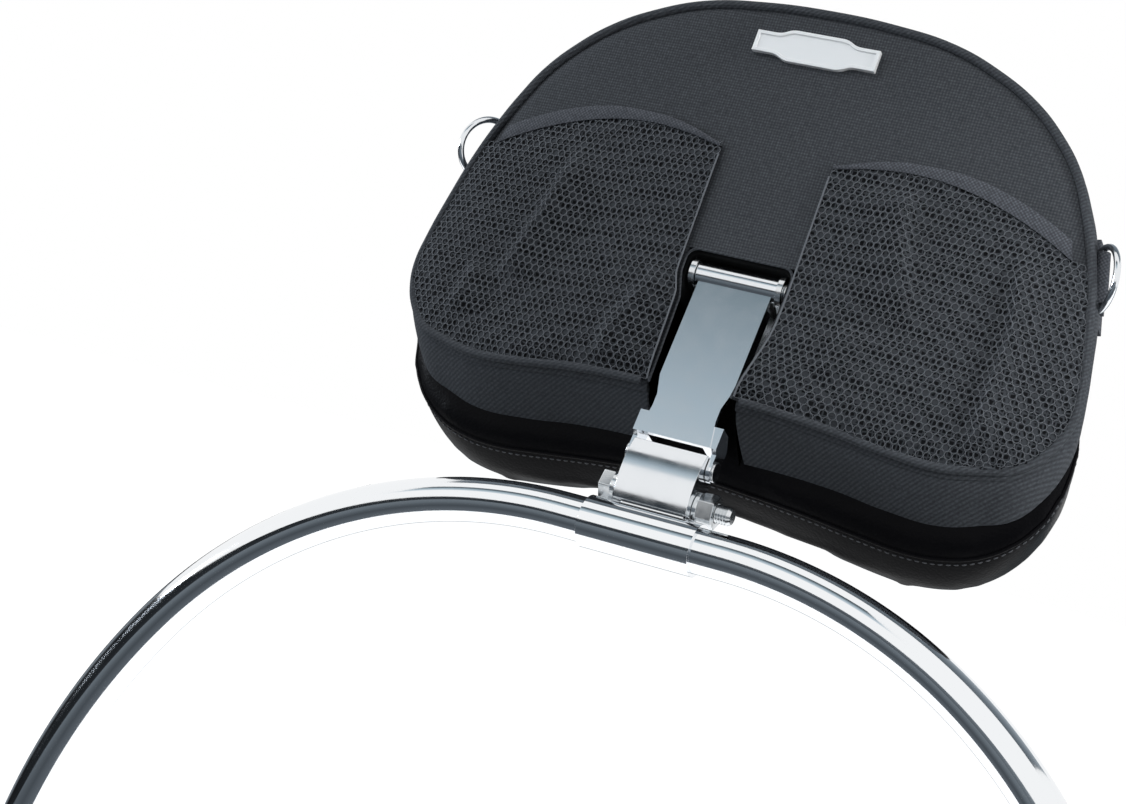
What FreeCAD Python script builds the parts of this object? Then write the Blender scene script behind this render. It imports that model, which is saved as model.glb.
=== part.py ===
import FreeCAD, Part
import math
import os

from FreeCAD import Placement, Rotation, Vector

# Motorcycle driver backrest: a padded rest with a fabric pouch on its rear,
# carried by a folding chromed arm on a U-shaped hoop of round tube.
# Millimetres. X runs to the right, Y forward to the rider, Z up.
# The origin lies midway between the two feet of the hoop.

doc = FreeCAD.newDocument("driver_backrest")
sheet = doc.addObject("Spreadsheet::Sheet", "Sizes")

DRIVING_SIZES = [
    ("tube_diameter", 19.05, "hoop tube, outside"),
    ("tube_wall", 1.65, "hoop tube, wall"),
    ("crown_half", 37.0, "half of the straight run at the top of the hoop"),
    ("shoulder_radius", 215.0, "bend beside the straight run"),
    ("shoulder_angle", 55.0, "degrees turned by that bend"),
    ("leg_radius", 290.0, "wider bend that turns the leg upright"),
    ("leg_straight", 45.0, "straight foot that a socket or clamp takes"),
    ("sleeve_diameter", 22.2, "sleeve pressed on the hoop, outside"),
    ("sleeve_length", 50.8, "sleeve along the hoop"),
    ("bolt_diameter", 7.94, "hinge bolt shank"),
    ("bolt_forward", 9.8, "hinge bolt, forward of the tube's axis"),
    ("bolt_rise", 16.3, "hinge bolt, above the tube's axis"),
    ("lug_diameter", 14.0, "barrel of the sleeve's lug round the bolt"),
    ("hex_flats", 12.7, "bolt head and nut across flats"),
    ("head_height", 5.3, "bolt head"),
    ("nut_height", 7.0, "locking nut"),
    ("thread_proud", 6.5, "thread that shows beyond the nut"),
    ("washer_diameter", 13.6, "washers under head and nut"),
    ("washer_thickness", 1.9, "each washer"),
    ("turn_clearance", 0.05, "radial clearance of every turning fit"),
    ("side_clearance", 0.3, "gap beside a turning piece"),
    ("knuckle_width", 33.5, "knuckle over its two cheeks"),
    ("knuckle_sheet", 2.2, "sheet that the knuckle is pressed from"),
    ("knuckle_boss", 7.0, "cheek radius round the bolt"),
    ("knuckle_eye", 5.0, "cheek radius round the fold pin"),
    ("fold_forward", 3.1, "fold pin, forward of the hinge bolt"),
    ("fold_rise", 16.0, "fold pin, above the hinge bolt"),
    ("fold_pin_diameter", 6.0, "fold pin"),
    ("pin_head_diameter", 8.6, "rivet heads of both pins"),
    ("pin_head_height", 1.0, "rivet heads of both pins"),
    ("arm_lean", 21.0, "degrees that the arm leans forward"),
    ("arm_width", 33.7, "arm over its web"),
    ("arm_neck", 29.2, "arm at its neck"),
    ("arm_sheet", 2.6, "web thickness of the arm"),
    ("arm_flange", 7.0, "depth of the arm's side flanges"),
    ("arm_reach", 79.0, "foot of the web to the axis of the top roll"),
    ("foot_back", 8.2, "web's rear face behind the fold pin"),
    ("foot_up", 4.6, "foot of the web above the fold pin, along the arm"),
    ("ear_thickness", 2.0, "ears of the arm beside the knuckle"),
    ("roll_diameter", 11.4, "roll at the top of the arm"),
    ("roll_length", 37.0, "roll at the top of the arm"),
    ("roll_forward", 3.3, "roll axis forward of the web's rear face"),
    ("tilt_pin_diameter", 6.0, "pin through the roll"),
    ("bracket_sheet", 2.5, "pad bracket sheet"),
    ("bracket_low", 20.0, "bracket plate below the roll, end"),
    ("bracket_plate_height", 44.0, "bracket plate along the pad"),
    ("ear_radius", 7.0, "bracket ears round the tilt pin"),
    ("screw_diameter", 5.0, "bracket screws"),
    ("screw_head_diameter", 9.4, "bracket screws"),
    ("screw_head_height", 2.7, "bracket screws"),
    ("screw_spread", 26.0, "across a pair of bracket screws"),
    ("screw_pitch", 34.0, "between the two pairs of bracket screws"),
    ("board_thickness", 9.0, "backing board"),
    ("pad_lean", 15.0, "degrees that the pad leans forward"),
    ("roll_below_slot", 8.6, "tilt pin below the top of the pouch's slot"),
    ("roll_depth", 6.4, "tilt pin forward of the pouch's rear face"),
    ("slot_height", 65.0, "top of the slot above the pouch's foot"),
    ("slot_half", 24.5, "half width of the slot in the pouch"),
    ("pouch_depth", 32.0, "pouch from its rear face to the pad"),
    ("pouch_crown", 840.0, "radius of the crowned rear face"),
    ("pouch_wall", 1.6, "padded fabric wall of the pouch"),
    ("piping_diameter", 3.6, "piping round the rear face"),
    ("pocket_thickness", 1.8, "mesh pocket lying on the rear face"),
    ("binding_thickness", 2.2, "hem tape of a mesh pocket"),
    ("pad_half_width", 155.0, "half of the pad's greatest width"),
    ("pad_top", 183.0, "top of the pad above the pouch's foot"),
    ("pad_drop", 42.0, "lobes of the pad below the pouch's foot"),
    ("pad_thickness", 50.0, "pad from its back panel to its face"),
    ("cover_sheet", 1.3, "vinyl cover"),
    ("seam_height", 5.0, "seam in front of the back panel"),
    ("ring_wire", 3.0, "strap ring wire"),
    ("ring_length", 30.0, "strap ring, over its straight bar"),
    ("ring_reach", 15.5, "strap ring, bar axis to the top of its bow"),
    ("ring_lean", 34.0, "degrees that the ring stands off the pouch"),
    ("ring_up", 97.0, "strap ring above the pouch's foot"),
    ("ring_depth", 21.0, "strap ring forward of the rear face"),
    ("ring_tilt", 13.0, "degrees that the bar follows the sloping side"),
    ("tab_width", 23.0, "fabric tab along the bar"),
    ("tab_thickness", 1.4, "fabric tab"),
    ("patch_margin", 7.0, "patch under the tab, beyond it at each end"),
    ("badge_width", 57.0, "blank name plate"),
    ("badge_height", 15.0, "blank name plate"),
    ("badge_thickness", 2.2, "blank name plate"),
    ("badge_rim", 1.6, "raised rim of the plate"),
    ("badge_up", 164.0, "middle of the plate above the pouch's foot"),
]
for row, (alias, number, note) in enumerate(DRIVING_SIZES, start=1):
    sheet.set("A%d" % row, note)
    sheet.set("B%d" % row, str(number))
    sheet.setAlias("B%d" % row, alias)
doc.recompute()


def size(alias):
    return float(sheet.get(alias))


def bind(item, **expressions):
    for prop, expression in expressions.items():
        item.setExpression(prop.replace("__", "."), expression)
    return item


# Places that several pieces share, worked out from the driving sizes
shoulder = math.radians(size("shoulder_angle"))
foot_x = (size("crown_half") + size("shoulder_radius") * math.sin(shoulder)
          + size("leg_radius") * (1 - math.sin(shoulder)))
crown_z = (size("leg_straight") + size("leg_radius") * math.cos(shoulder)
           + size("shoulder_radius") * (1 - math.cos(shoulder)))
bolt_y = size("bolt_forward")
bolt_z = crown_z + size("bolt_rise")
fold_y = bolt_y + size("fold_forward")
fold_z = bolt_z + size("fold_rise")
arm_lean = math.radians(size("arm_lean"))
pad_lean = math.radians(size("pad_lean"))


def leaning(origin_y, origin_z, lean):
    """Placement whose own Z leans forward by lean, in radians."""
    turn = Rotation(Vector(1, 0, 0), -math.degrees(lean))
    return Placement(Vector(0, origin_y, origin_z), turn)


# The arm's own frame: Z up the web, Y forward, origin at the foot of its rear face
arm_y = fold_y - size("foot_back") * math.cos(arm_lean) + size("foot_up") * math.sin(arm_lean)
arm_z = fold_z + size("foot_back") * math.sin(arm_lean) + size("foot_up") * math.cos(arm_lean)
ARM_PLACE = leaning(arm_y, arm_z, arm_lean)
roll_centre = ARM_PLACE.multVec(Vector(0, size("roll_forward"), size("arm_reach")))

# The pad's own frame: Z up the pad, Y forward, origin at the foot of the pouch's rear face
roll_w = size("slot_height") - size("roll_below_slot")
roll_n = size("roll_depth")
pad_y = roll_centre.y - roll_n * math.cos(pad_lean) - roll_w * math.sin(pad_lean)
pad_z = roll_centre.z + roll_n * math.sin(pad_lean) - roll_w * math.cos(pad_lean)
PAD_PLACE = leaning(pad_y, pad_z, pad_lean)


def plane_of(body, role):
    return [item for item in body.Origin.OriginFeatures if item.Role == role][0]


def new_body(label, place=None):
    body = doc.addObject("PartDesign::Body", label.title().replace("_", ""))
    body.Label = label
    if place is not None:
        body.Placement = place
    return body


def new_sketch(body, role, curves, name):
    sketch = body.newObject("Sketcher::SketchObject", name)
    sketch.AttachmentSupport = (plane_of(body, role), [""])
    sketch.MapMode = "FlatFace"
    sketch.addGeometry(curves, False)
    return sketch


def symmetric_pad(body, sketch, name, length):
    pad = body.newObject("PartDesign::Pad", name)
    pad.Profile = sketch
    pad.SideType = "Symmetric"
    pad.setExpression("Length", length)
    return pad


def symmetric_pocket(body, sketch, name, length):
    pocket = body.newObject("PartDesign::Pocket", name)
    pocket.Profile = sketch
    pocket.SideType = "Symmetric"
    pocket.setExpression("Length", length)
    return pocket


def polyline(points):
    """Closed run of straight sketch lines through flat (x, y) points."""
    flat = [Vector(x, y, 0) for x, y in points]
    return [Part.LineSegment(a, b) for a, b in zip(flat, flat[1:] + flat[:1])]


def cross_cylinder(name, radius, length, y, z, x_start=None):
    """Part cylinder along X, centred on X = 0 unless x_start says where it begins."""
    rod = doc.addObject("Part::Cylinder", name)
    start = "-(%s) / 2" % length if x_start is None else x_start
    rod.Placement = Placement(Vector(0, y, z), Rotation(Vector(0, 1, 0), 90))
    bind(rod, Radius=radius, Height=length, Placement__Base__x=start)
    return rod


def cut(label, base, tool, name=None):
    result = doc.addObject("Part::Cut", name or label.title().replace("_", ""))
    result.Label = label
    result.Base = base
    result.Tool = tool
    return result


def fuse(label, parts, name=None):
    result = doc.addObject("Part::MultiFuse", name or label.title().replace("_", ""))
    result.Label = label
    result.Shapes = parts
    result.Refine = True
    return result


def shaped(label, shape, place=None):
    """Part::Feature for a form that neither sketches nor primitives make."""
    item = doc.addObject("Part::Feature", label.title().replace("_", ""))
    item.Label = label
    item.Shape = shape
    if place is not None:
        item.Placement = place
    return item


pieces = []

# Hoop: one bent tube, a straight run at the top, two bends a side, upright feet
sin_a, cos_a = math.sin(shoulder), math.cos(shoulder)
along_y, along_z = Vector(0, 1, 0), Vector(0, 0, 1)
shoulder_centre = Vector(size("crown_half"), 0, crown_z - size("shoulder_radius"))
leg_centre = Vector(foot_x - size("leg_radius"), 0, size("leg_straight"))
bend_end = shoulder_centre + Vector(sin_a, 0, cos_a) * size("shoulder_radius")
leg_top = Vector(foot_x, 0, size("leg_straight"))
crown_end = Vector(size("crown_half"), 0, crown_z)
leg_turn = 90 - size("shoulder_angle")


def round_face(centre, normal, radius):
    return Part.Face(Part.Wire(Part.makeCircle(radius, centre, normal)))


def half_hoop(radius):
    """Right half of a bar of that radius along the hoop's line, from mid crown to foot."""
    across = Vector(1, 0, 0)
    slope = Vector(cos_a, 0, -sin_a)
    crown_run = round_face(Vector(0, 0, crown_z), across, radius).extrude(
        Vector(size("crown_half"), 0, 0))
    upper = round_face(crown_end, across, radius).revolve(shoulder_centre, along_y,
                                                    size("shoulder_angle"))
    lower = round_face(bend_end, slope, radius).revolve(leg_centre, along_y, leg_turn)
    foot = round_face(leg_top, along_z, radius).extrude(Vector(0, 0, -size("leg_straight")))
    return crown_run.fuse([upper, lower, foot])


def whole_hoop(radius):
    right = half_hoop(radius)
    left = right.mirror(Vector(0, 0, 0), Vector(1, 0, 0))
    return right.fuse(left).removeSplitter()


tube_bore = size("tube_diameter") / 2 - size("tube_wall")
pieces.append(shaped("hoop_tube", whole_hoop(size("tube_diameter") / 2).cut(whole_hoop(tube_bore))))

# Sleeve pressed on the hoop, with a welded lug whose barrel takes the hinge bolt
sleeve_outer = cross_cylinder("SleeveOuter", "Sizes.sleeve_diameter / 2",
                              "Sizes.sleeve_length", 0, crown_z)
lug_width = "Sizes.knuckle_width - 2 * Sizes.knuckle_sheet - 2 * Sizes.side_clearance"
lug_barrel = cross_cylinder("LugBarrel", "Sizes.lug_diameter / 2", lug_width, bolt_y, bolt_z)
lug_web = doc.addObject("Part::Box", "LugWeb")
lug_web.Placement.Base = Vector(0, 0, crown_z)
bind(lug_web, Length=lug_width, Width="Sizes.bolt_forward - 2", Height="Sizes.bolt_rise",
     Placement__Base__x="-(%s) / 2" % lug_width, Placement__Base__y="3.5")
sleeve_solid = fuse("sleeve_solid", [sleeve_outer, lug_barrel, lug_web])
sleeve_bore = cross_cylinder("SleeveBore", "Sizes.tube_diameter / 2",
                             "Sizes.sleeve_length + 2", 0, crown_z)
lug_bore = cross_cylinder("LugBore", "Sizes.bolt_diameter / 2 + Sizes.turn_clearance",
                          "Sizes.sleeve_length", bolt_y, bolt_z)
pieces.append(cut("hinge_sleeve", sleeve_solid, fuse("sleeve_holes", [sleeve_bore, lug_bore])))

# Hinge bolt, plain and lock washer under its head, washer and locking nut at the far end
stack_x = size("knuckle_width") / 2 + size("side_clearance") / 2


def washer(label, x_start):
    disc = cross_cylinder(label + "_disc", "Sizes.washer_diameter / 2",
                          "Sizes.washer_thickness", bolt_y, bolt_z, x_start)
    hole = cross_cylinder(label + "_hole", "Sizes.bolt_diameter / 2 + Sizes.turn_clearance",
                          "Sizes.washer_thickness + 2", bolt_y, bolt_z, "%s - 1" % x_start)
    return disc, hole


def hexagon(name, height, x_start):
    """Hexagonal prism along X with its corners turned off by a ball of fitting size."""
    prism = doc.addObject("Part::Prism", name + "Prism")
    prism.Polygon = 6
    prism.Placement = Placement(Vector(0, bolt_y, bolt_z), Rotation(Vector(0, 1, 0), 90))
    bind(prism, Circumradius="Sizes.hex_flats / sqrt(3)", Height=height,
         Placement__Base__x=x_start)
    ball = doc.addObject("Part::Sphere", name + "Ball")
    ball.Placement.Base = Vector(0, bolt_y, bolt_z)
    bind(ball, Radius="Sizes.hex_flats * 0.64",
         Placement__Base__x="%s + (%s) / 2" % (x_start, height))
    turned = doc.addObject("Part::Common", name + "Turned")
    turned.Base = prism
    turned.Tool = ball
    return turned


stack = "(Sizes.knuckle_width + Sizes.side_clearance) / 2"
left_1 = "-%s - Sizes.washer_thickness" % stack
left_2 = "-%s - 2 * Sizes.washer_thickness" % stack
head_x = "-%s - 2 * Sizes.washer_thickness - Sizes.head_height" % stack
nut_x = "%s + Sizes.washer_thickness" % stack
shank_length = ("2 * %s + 3 * Sizes.washer_thickness + Sizes.head_height / 2"
                " + Sizes.nut_height + Sizes.thread_proud" % stack)
shank_x = "-%s - 2 * Sizes.washer_thickness - Sizes.head_height / 2" % stack
shank = cross_cylinder("BoltShank", "Sizes.bolt_diameter / 2", shank_length,
                       bolt_y, bolt_z, shank_x)
pieces.append(fuse("hinge_bolt", [hexagon("BoltHead", "Sizes.head_height", head_x), shank]))
for label, x_start in (("head_washer", left_1), ("nut_washer", stack)):
    disc, hole = washer(label, x_start)
    pieces.append(cut(label, disc, hole))
disc, hole = washer("lock_washer", left_2)
split = doc.addObject("Part::Box", "LockWasherSplit")
split.Placement = Placement(Vector(0, bolt_y - 0.6, bolt_z), Rotation())
bind(split, Length="Sizes.washer_thickness + 2", Width="1.2",
     Height="Sizes.washer_diameter", Placement__Base__x="%s - 1" % left_2)
pieces.append(cut("lock_washer", disc, fuse("lock_washer_cuts", [hole, split])))
nut_hole = cross_cylinder("NutHole", "Sizes.bolt_diameter / 2", "Sizes.nut_height + 2",
                          bolt_y, bolt_z, "%s - 1" % nut_x)
pieces.append(cut("hinge_nut", hexagon("Nut", "Sizes.nut_height", nut_x), nut_hole))


def tangent_points(centre_a, radius_a, centre_b, radius_b, side):
    """Ends of the outer tangent of two circles; side is +1 or -1."""
    span = centre_b - centre_a
    angle = math.atan2(span.y, span.x) + side * math.acos((radius_a - radius_b) / span.Length)
    away = Vector(math.cos(angle), math.sin(angle), 0)
    return centre_a + away * radius_a, centre_b + away * radius_b


# Knuckle: a pressed channel, its cover bulging to the rear, its cheeks round bolt and pin
knuckle = new_body("hinge_knuckle", Placement(Vector(0, bolt_y, bolt_z), Rotation()))
boss = Vector(0, 0, 0)
eye = Vector(size("fold_forward"), size("fold_rise"), 0)
cover_foot = Vector(-11.2, -3.6, 0)
cover_bulge = Vector(-9.4, 10.0, 0)
cover_brow = Vector(-5.0, 19.0, 0)
cover_lip = Vector(-2.4, size("fold_rise") + size("knuckle_eye") + 1.1, 0)
boss_radius, eye_radius = size("knuckle_boss"), size("knuckle_eye")
front_low, front_high = tangent_points(boss, boss_radius, eye, eye_radius, -1)
eye_top = eye + Vector(0, eye_radius, 0)
boss_foot = boss + Vector(-math.cos(math.radians(40)), -math.sin(math.radians(40)), 0) * boss_radius
boss_under = boss + Vector(math.cos(math.radians(-60)), math.sin(math.radians(-60)), 0) * boss_radius
eye_side = eye + Vector(math.cos(math.radians(40)), math.sin(math.radians(40)), 0) * eye_radius
outline = [
    Part.Arc(cover_foot, cover_bulge, cover_brow),
    Part.LineSegment(cover_brow, cover_lip),
    Part.LineSegment(cover_lip, eye_top),
    Part.Arc(eye_top, eye_side, front_high),
    Part.LineSegment(front_high, front_low),
    Part.Arc(front_low, boss_under, boss_foot),
    Part.LineSegment(boss_foot, cover_foot),
]
symmetric_pad(knuckle, new_sketch(knuckle, "YZ_Plane", outline, "KnuckleOutline"),
              "KnuckleBlock", "Sizes.knuckle_width")
cover = Part.Arc(cover_foot, cover_bulge, cover_brow).toShape().Curve
inner_radius = cover.Radius - size("knuckle_sheet")
inner_low_y = cover_foot.y - 2
inner_high_y = cover_brow.y - 1.4


def on_inner(height):
    reach = math.sqrt(inner_radius ** 2 - (height - cover.Center.y) ** 2)
    return Vector(cover.Center.x - reach, height, 0)


hollow_low, hollow_high = on_inner(inner_low_y), on_inner(inner_high_y)
hollow_mid = on_inner((inner_low_y + inner_high_y) / 2)
above = eye_top.y + 2
ahead = eye.x + eye_radius + 12
below = -boss_radius - 2
lip_inner = Vector(cover_lip.x + 0.4, above, 0)
hollow = [
    Part.Arc(hollow_low, hollow_mid, hollow_high),
    Part.LineSegment(hollow_high, lip_inner),
    Part.LineSegment(lip_inner, Vector(ahead, above, 0)),
    Part.LineSegment(Vector(ahead, above, 0), Vector(ahead, below, 0)),
    Part.LineSegment(Vector(ahead, below, 0), Vector(hollow_low.x, below, 0)),
    Part.LineSegment(Vector(hollow_low.x, below, 0), hollow_low),
]
symmetric_pocket(knuckle, new_sketch(knuckle, "YZ_Plane", hollow, "KnuckleHollow"),
                 "KnuckleChannel", "Sizes.knuckle_width - 2 * Sizes.knuckle_sheet")
holes = [
    Part.Circle(boss, Vector(0, 0, 1), size("bolt_diameter") / 2 + size("turn_clearance")),
    Part.Circle(eye, Vector(0, 0, 1), size("fold_pin_diameter") / 2 + size("turn_clearance")),
]
symmetric_pocket(knuckle, new_sketch(knuckle, "YZ_Plane", holes, "KnuckleHoles"),
                 "KnuckleBores", "Sizes.knuckle_width + 2")
pieces.append(knuckle)


def headed_pin(label, diameter, grip, y, z):
    """Pin along X with a low rivet head at each end of its grip."""
    rod = cross_cylinder(label + "_shank", "%s / 2" % diameter,
                         "%s + 2 * Sizes.pin_head_height" % grip, y, z)
    heads = []
    for end, x_start in (("left", "-(%s) / 2 - Sizes.pin_head_height" % grip),
                         ("right", "(%s) / 2" % grip)):
        heads.append(cross_cylinder("%s_%s_head" % (label, end), "Sizes.pin_head_diameter / 2",
                                    "Sizes.pin_head_height", y, z, x_start))
    return fuse(label, [rod] + heads)


ear_inner = "Sizes.knuckle_width / 2 + Sizes.side_clearance"
ear_outer = ear_inner + " + Sizes.ear_thickness"
pieces.append(headed_pin("fold_pin", "Sizes.fold_pin_diameter", "2 * (%s)" % ear_outer,
                         fold_y, fold_z))

# Arm: pressed strip with turned edges, a neck, two ears at its foot and a roll at its top
arm = new_body("backrest_arm", ARM_PLACE)
half, neck = size("arm_width") / 2, size("arm_neck") / 2
reach = size("arm_reach")
neck_low, neck_high, shoulder_s = 14.0, 20.0, 29.0
web_half = [(half, 0), (half - 0.8, 5), (neck, neck_low), (neck, neck_high),
            (half, shoulder_s), (half, reach)]
web_outline = web_half + [(-x, z) for x, z in reversed(web_half)]
web = arm.newObject("PartDesign::Pad", "ArmWeb")
web.Profile = new_sketch(arm, "XZ_Plane", polyline(web_outline), "ArmWebOutline")
web.Reversed = True
web.setExpression("Length", "Sizes.arm_sheet")
flange_half = [(half - 2.0, shoulder_s), (half, shoulder_s), (half, reach - 9), (half - 2.0, reach - 9)]
flanges = arm.newObject("PartDesign::Pad", "ArmFlanges")
flanges.Profile = new_sketch(arm, "XZ_Plane",
                             polyline(flange_half) + polyline([(-x, z) for x, z in flange_half]),
                             "ArmFlangeOutline")
flanges.Reversed = True
flanges.setExpression("Length", "Sizes.arm_flange")
pin_v = Vector(size("foot_back"), -size("foot_up"), 0)
ear_r = size("knuckle_eye")
ear_top = 12.0
ear_outline = [
    Part.LineSegment(Vector(pin_v.x - ear_r, pin_v.y, 0), Vector(pin_v.x - ear_r, 1.0, 0)),
    Part.LineSegment(Vector(pin_v.x - ear_r, 1.0, 0), Vector(0.6, 2.4, 0)),
    Part.LineSegment(Vector(0.6, 2.4, 0), Vector(0.6, ear_top, 0)),
    Part.LineSegment(Vector(0.6, ear_top, 0), Vector(pin_v.x, ear_top, 0)),
    Part.LineSegment(Vector(pin_v.x, ear_top, 0), Vector(pin_v.x + ear_r, ear_top - 5, 0)),
    Part.LineSegment(Vector(pin_v.x + ear_r, ear_top - 5, 0), Vector(pin_v.x + ear_r, pin_v.y, 0)),
    Part.Arc(Vector(pin_v.x + ear_r, pin_v.y, 0), Vector(pin_v.x, pin_v.y - ear_r, 0),
             Vector(pin_v.x - ear_r, pin_v.y, 0)),
]
symmetric_pad(arm, new_sketch(arm, "YZ_Plane", ear_outline, "ArmEarOutline"), "ArmEars",
              "2 * (%s)" % ear_outer)
between = [(arm_side, level) for arm_side, level in
           ((0.0, -12.0), (24.0, -12.0), (24.0, 2.4), (0.0, 2.4))]
symmetric_pocket(arm, new_sketch(arm, "YZ_Plane", polyline(between), "ArmEarGap"),
                 "ArmEarSlot", "2 * (%s)" % ear_inner)
behind_web = [(size("arm_sheet"), 2.4), (24.0, 2.4), (24.0, ear_top + 1), (size("arm_sheet"), ear_top + 1)]
symmetric_pocket(arm, new_sketch(arm, "YZ_Plane", polyline(behind_web), "ArmHollowOutline"),
                 "ArmHollow", "Sizes.arm_neck - 2 * Sizes.ear_thickness")
roll_ring = [Part.Circle(Vector(size("roll_forward"), reach, 0), Vector(0, 0, 1),
                         size("roll_diameter") / 2)]
symmetric_pad(arm, new_sketch(arm, "YZ_Plane", roll_ring, "ArmRollOutline"), "ArmRoll",
              "Sizes.roll_length")
arm_holes = [
    Part.Circle(Vector(size("roll_forward"), reach, 0), Vector(0, 0, 1),
                size("tilt_pin_diameter") / 2 + size("turn_clearance")),
    Part.Circle(pin_v, Vector(0, 0, 1), size("fold_pin_diameter") / 2),
]
symmetric_pocket(arm, new_sketch(arm, "YZ_Plane", arm_holes, "ArmHoleOutline"), "ArmBores",
                 "2 * (%s) + 2" % ear_outer)
pieces.append(arm)

# Pad bracket: folded sheet, a plate on the pad's back and two ears round the roll
bracket_inner = "Sizes.roll_length + 2 * Sizes.side_clearance"
bracket_outer = bracket_inner + " + 2 * Sizes.bracket_sheet"
pieces.append(headed_pin("tilt_pin", "Sizes.tilt_pin_diameter", bracket_outer,
                         roll_centre.y, roll_centre.z))
bracket = new_body("pad_bracket", PAD_PLACE)
plate_front = size("pouch_depth")
plate_rear = plate_front - size("bracket_sheet")
plate_low = size("bracket_low")
plate_high = plate_low + size("bracket_plate_height")
ear_low_y = roll_w - 14
r_ear = size("ear_radius")
tilt_eye = Vector(roll_n, roll_w, 0)
bracket_side = [
    Part.LineSegment(Vector(plate_front, plate_low, 0), Vector(plate_front, plate_high, 0)),
    Part.LineSegment(Vector(plate_front, plate_high, 0), Vector(plate_rear, plate_high, 0)),
    Part.LineSegment(Vector(plate_rear, plate_high, 0), Vector(plate_rear, roll_w + r_ear, 0)),
    Part.LineSegment(Vector(plate_rear, roll_w + r_ear, 0), tilt_eye + Vector(0, r_ear, 0)),
    Part.Arc(tilt_eye + Vector(0, r_ear, 0), tilt_eye - Vector(r_ear, 0, 0),
             tilt_eye - Vector(0, r_ear, 0)),
    Part.LineSegment(tilt_eye - Vector(0, r_ear, 0), Vector(plate_rear, ear_low_y, 0)),
    Part.LineSegment(Vector(plate_rear, ear_low_y, 0), Vector(plate_rear, plate_low, 0)),
    Part.LineSegment(Vector(plate_rear, plate_low, 0), Vector(plate_front, plate_low, 0)),
]
symmetric_pad(bracket, new_sketch(bracket, "YZ_Plane", bracket_side, "BracketSide"),
              "BracketBlock", bracket_outer)
gap = [(-10.0, plate_low - 2), (plate_rear, plate_low - 2), (plate_rear, plate_high + 2),
       (-10.0, plate_high + 2)]
symmetric_pocket(bracket, new_sketch(bracket, "YZ_Plane", polyline(gap), "BracketGap"),
                 "BracketChannel", bracket_inner)
eye_hole = [Part.Circle(tilt_eye, Vector(0, 0, 1), size("tilt_pin_diameter") / 2)]
symmetric_pocket(bracket, new_sketch(bracket, "YZ_Plane", eye_hole, "BracketEye"),
                 "BracketBore", bracket_outer + " + 2")
screw_mid = (plate_low + plate_high) / 2
screw_places = [(side * size("screw_spread") / 2, screw_mid + level * size("screw_pitch") / 2)
                for side in (-1, 1) for level in (-1, 1)]
screw_rings = [Part.Circle(Vector(x, z, 0), Vector(0, 0, 1), size("screw_diameter") / 2)
               for x, z in screw_places]
plate_holes = bracket.newObject("PartDesign::Pocket", "BracketScrewHoles")
plate_holes.Profile = new_sketch(bracket, "XZ_Plane", screw_rings, "BracketScrewCircles")
plate_holes.SideType = "Symmetric"
plate_holes.setExpression("Length", "2 * Sizes.pouch_depth + 2")
pieces.append(bracket)

# The soft parts' outlines, in the pad's frame: X across, Z up, from the top to the foot
PAD_HALF = [(0.0, 183.0), (28.0, 182.0), (55.0, 178.0), (78.0, 170.0), (97.0, 158.0),
            (113.0, 141.0), (126.0, 122.0), (135.0, 104.0), (142.0, 85.0), (147.0, 65.0),
            (153.0, 35.0), (155.0, 20.0), (153.0, 9.0), (148.0, -5.0), (139.0, -19.5),
            (127.0, -31.5), (113.0, -39.0), (97.0, -42.0), (75.0, -39.0), (50.0, -33.0),
            (25.0, -28.5), (0.0, -27.0)]
POUCH_HALF = [(0.0, 182.0), (30.0, 181.0), (58.0, 177.5), (80.0, 170.0), (98.0, 160.5),
              (112.0, 149.0), (124.0, 135.0), (131.0, 122.0), (137.0, 108.0), (143.0, 90.0),
              (148.0, 68.0), (151.5, 48.0), (152.5, 35.0), (150.5, 25.0), (145.5, 15.5),
              (137.0, 7.0), (124.0, 2.5), (108.0, -1.0), (85.0, -0.5), (60.0, 2.0),
              (40.0, 3.0), (0.0, 3.0)]
POUCH_DROP = 17.0
middle_z = 72.0
pad_low, pad_high = min(z for x, z in PAD_HALF), max(z for x, z in PAD_HALF)
pad_wide = max(x for x, z in PAD_HALF)


def outline_wire(half, y, inset=0.0):
    """Closed smooth outline in the plane at y, drawn in by inset."""
    wide = max(x for x, z in half)
    tall = (max(z for x, z in half) - min(z for x, z in half)) / 2
    points = []
    for x, z in half:
        new_x = x * (1 - inset / wide)
        new_z = middle_z + (z - middle_z) * (1 - inset / tall)
        points.append(Vector(new_x, y, new_z))
    left = [Vector(-p.x, p.y, p.z) for p in reversed(points[1:-1])]
    curve = Part.BSplineCurve()
    curve.interpolate(points + left, PeriodicFlag=True)
    return Part.Wire([curve.toShape()])


def fitted(half):
    """Pad outline at the sheet's width, height and drop."""
    points = []
    for x, z in half:
        z_new = z * size("pad_top") / pad_high if z > 0 else z * size("pad_drop") / -pad_low
        points.append((x * size("pad_half_width") / pad_wide, z_new))
    return points


pad_half = fitted(PAD_HALF)
back_y = size("pouch_depth")


def pad_solid(shrink):
    """Cushion form from its flat back to its crowned face, shrunk all round by shrink."""
    depth = size("pad_thickness") - 2 * shrink
    # distance in front of the back panel, as a share of the depth, and how far it draws in
    profile = [(0.0, 7.0), (0.07, 2.6), (0.24, 0.0), (0.50, 1.2), (0.72, 6.0), (0.86, 15.0),
               (0.94, 29.0), (0.98, 48.0), (1.0, 74.0)]
    sections = [outline_wire(pad_half, back_y + shrink + depth * share, inset + shrink)
                for share, inset in profile]
    return Part.makeLoft(sections, True, True)


def slab(y_low, y_high):
    reach_x = size("pad_half_width") + 40
    low = -size("pad_drop") - 60
    return Part.makeBox(2 * reach_x, y_high - y_low, size("pad_top") - low + 60,
                        Vector(-reach_x, y_low, low))


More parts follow.
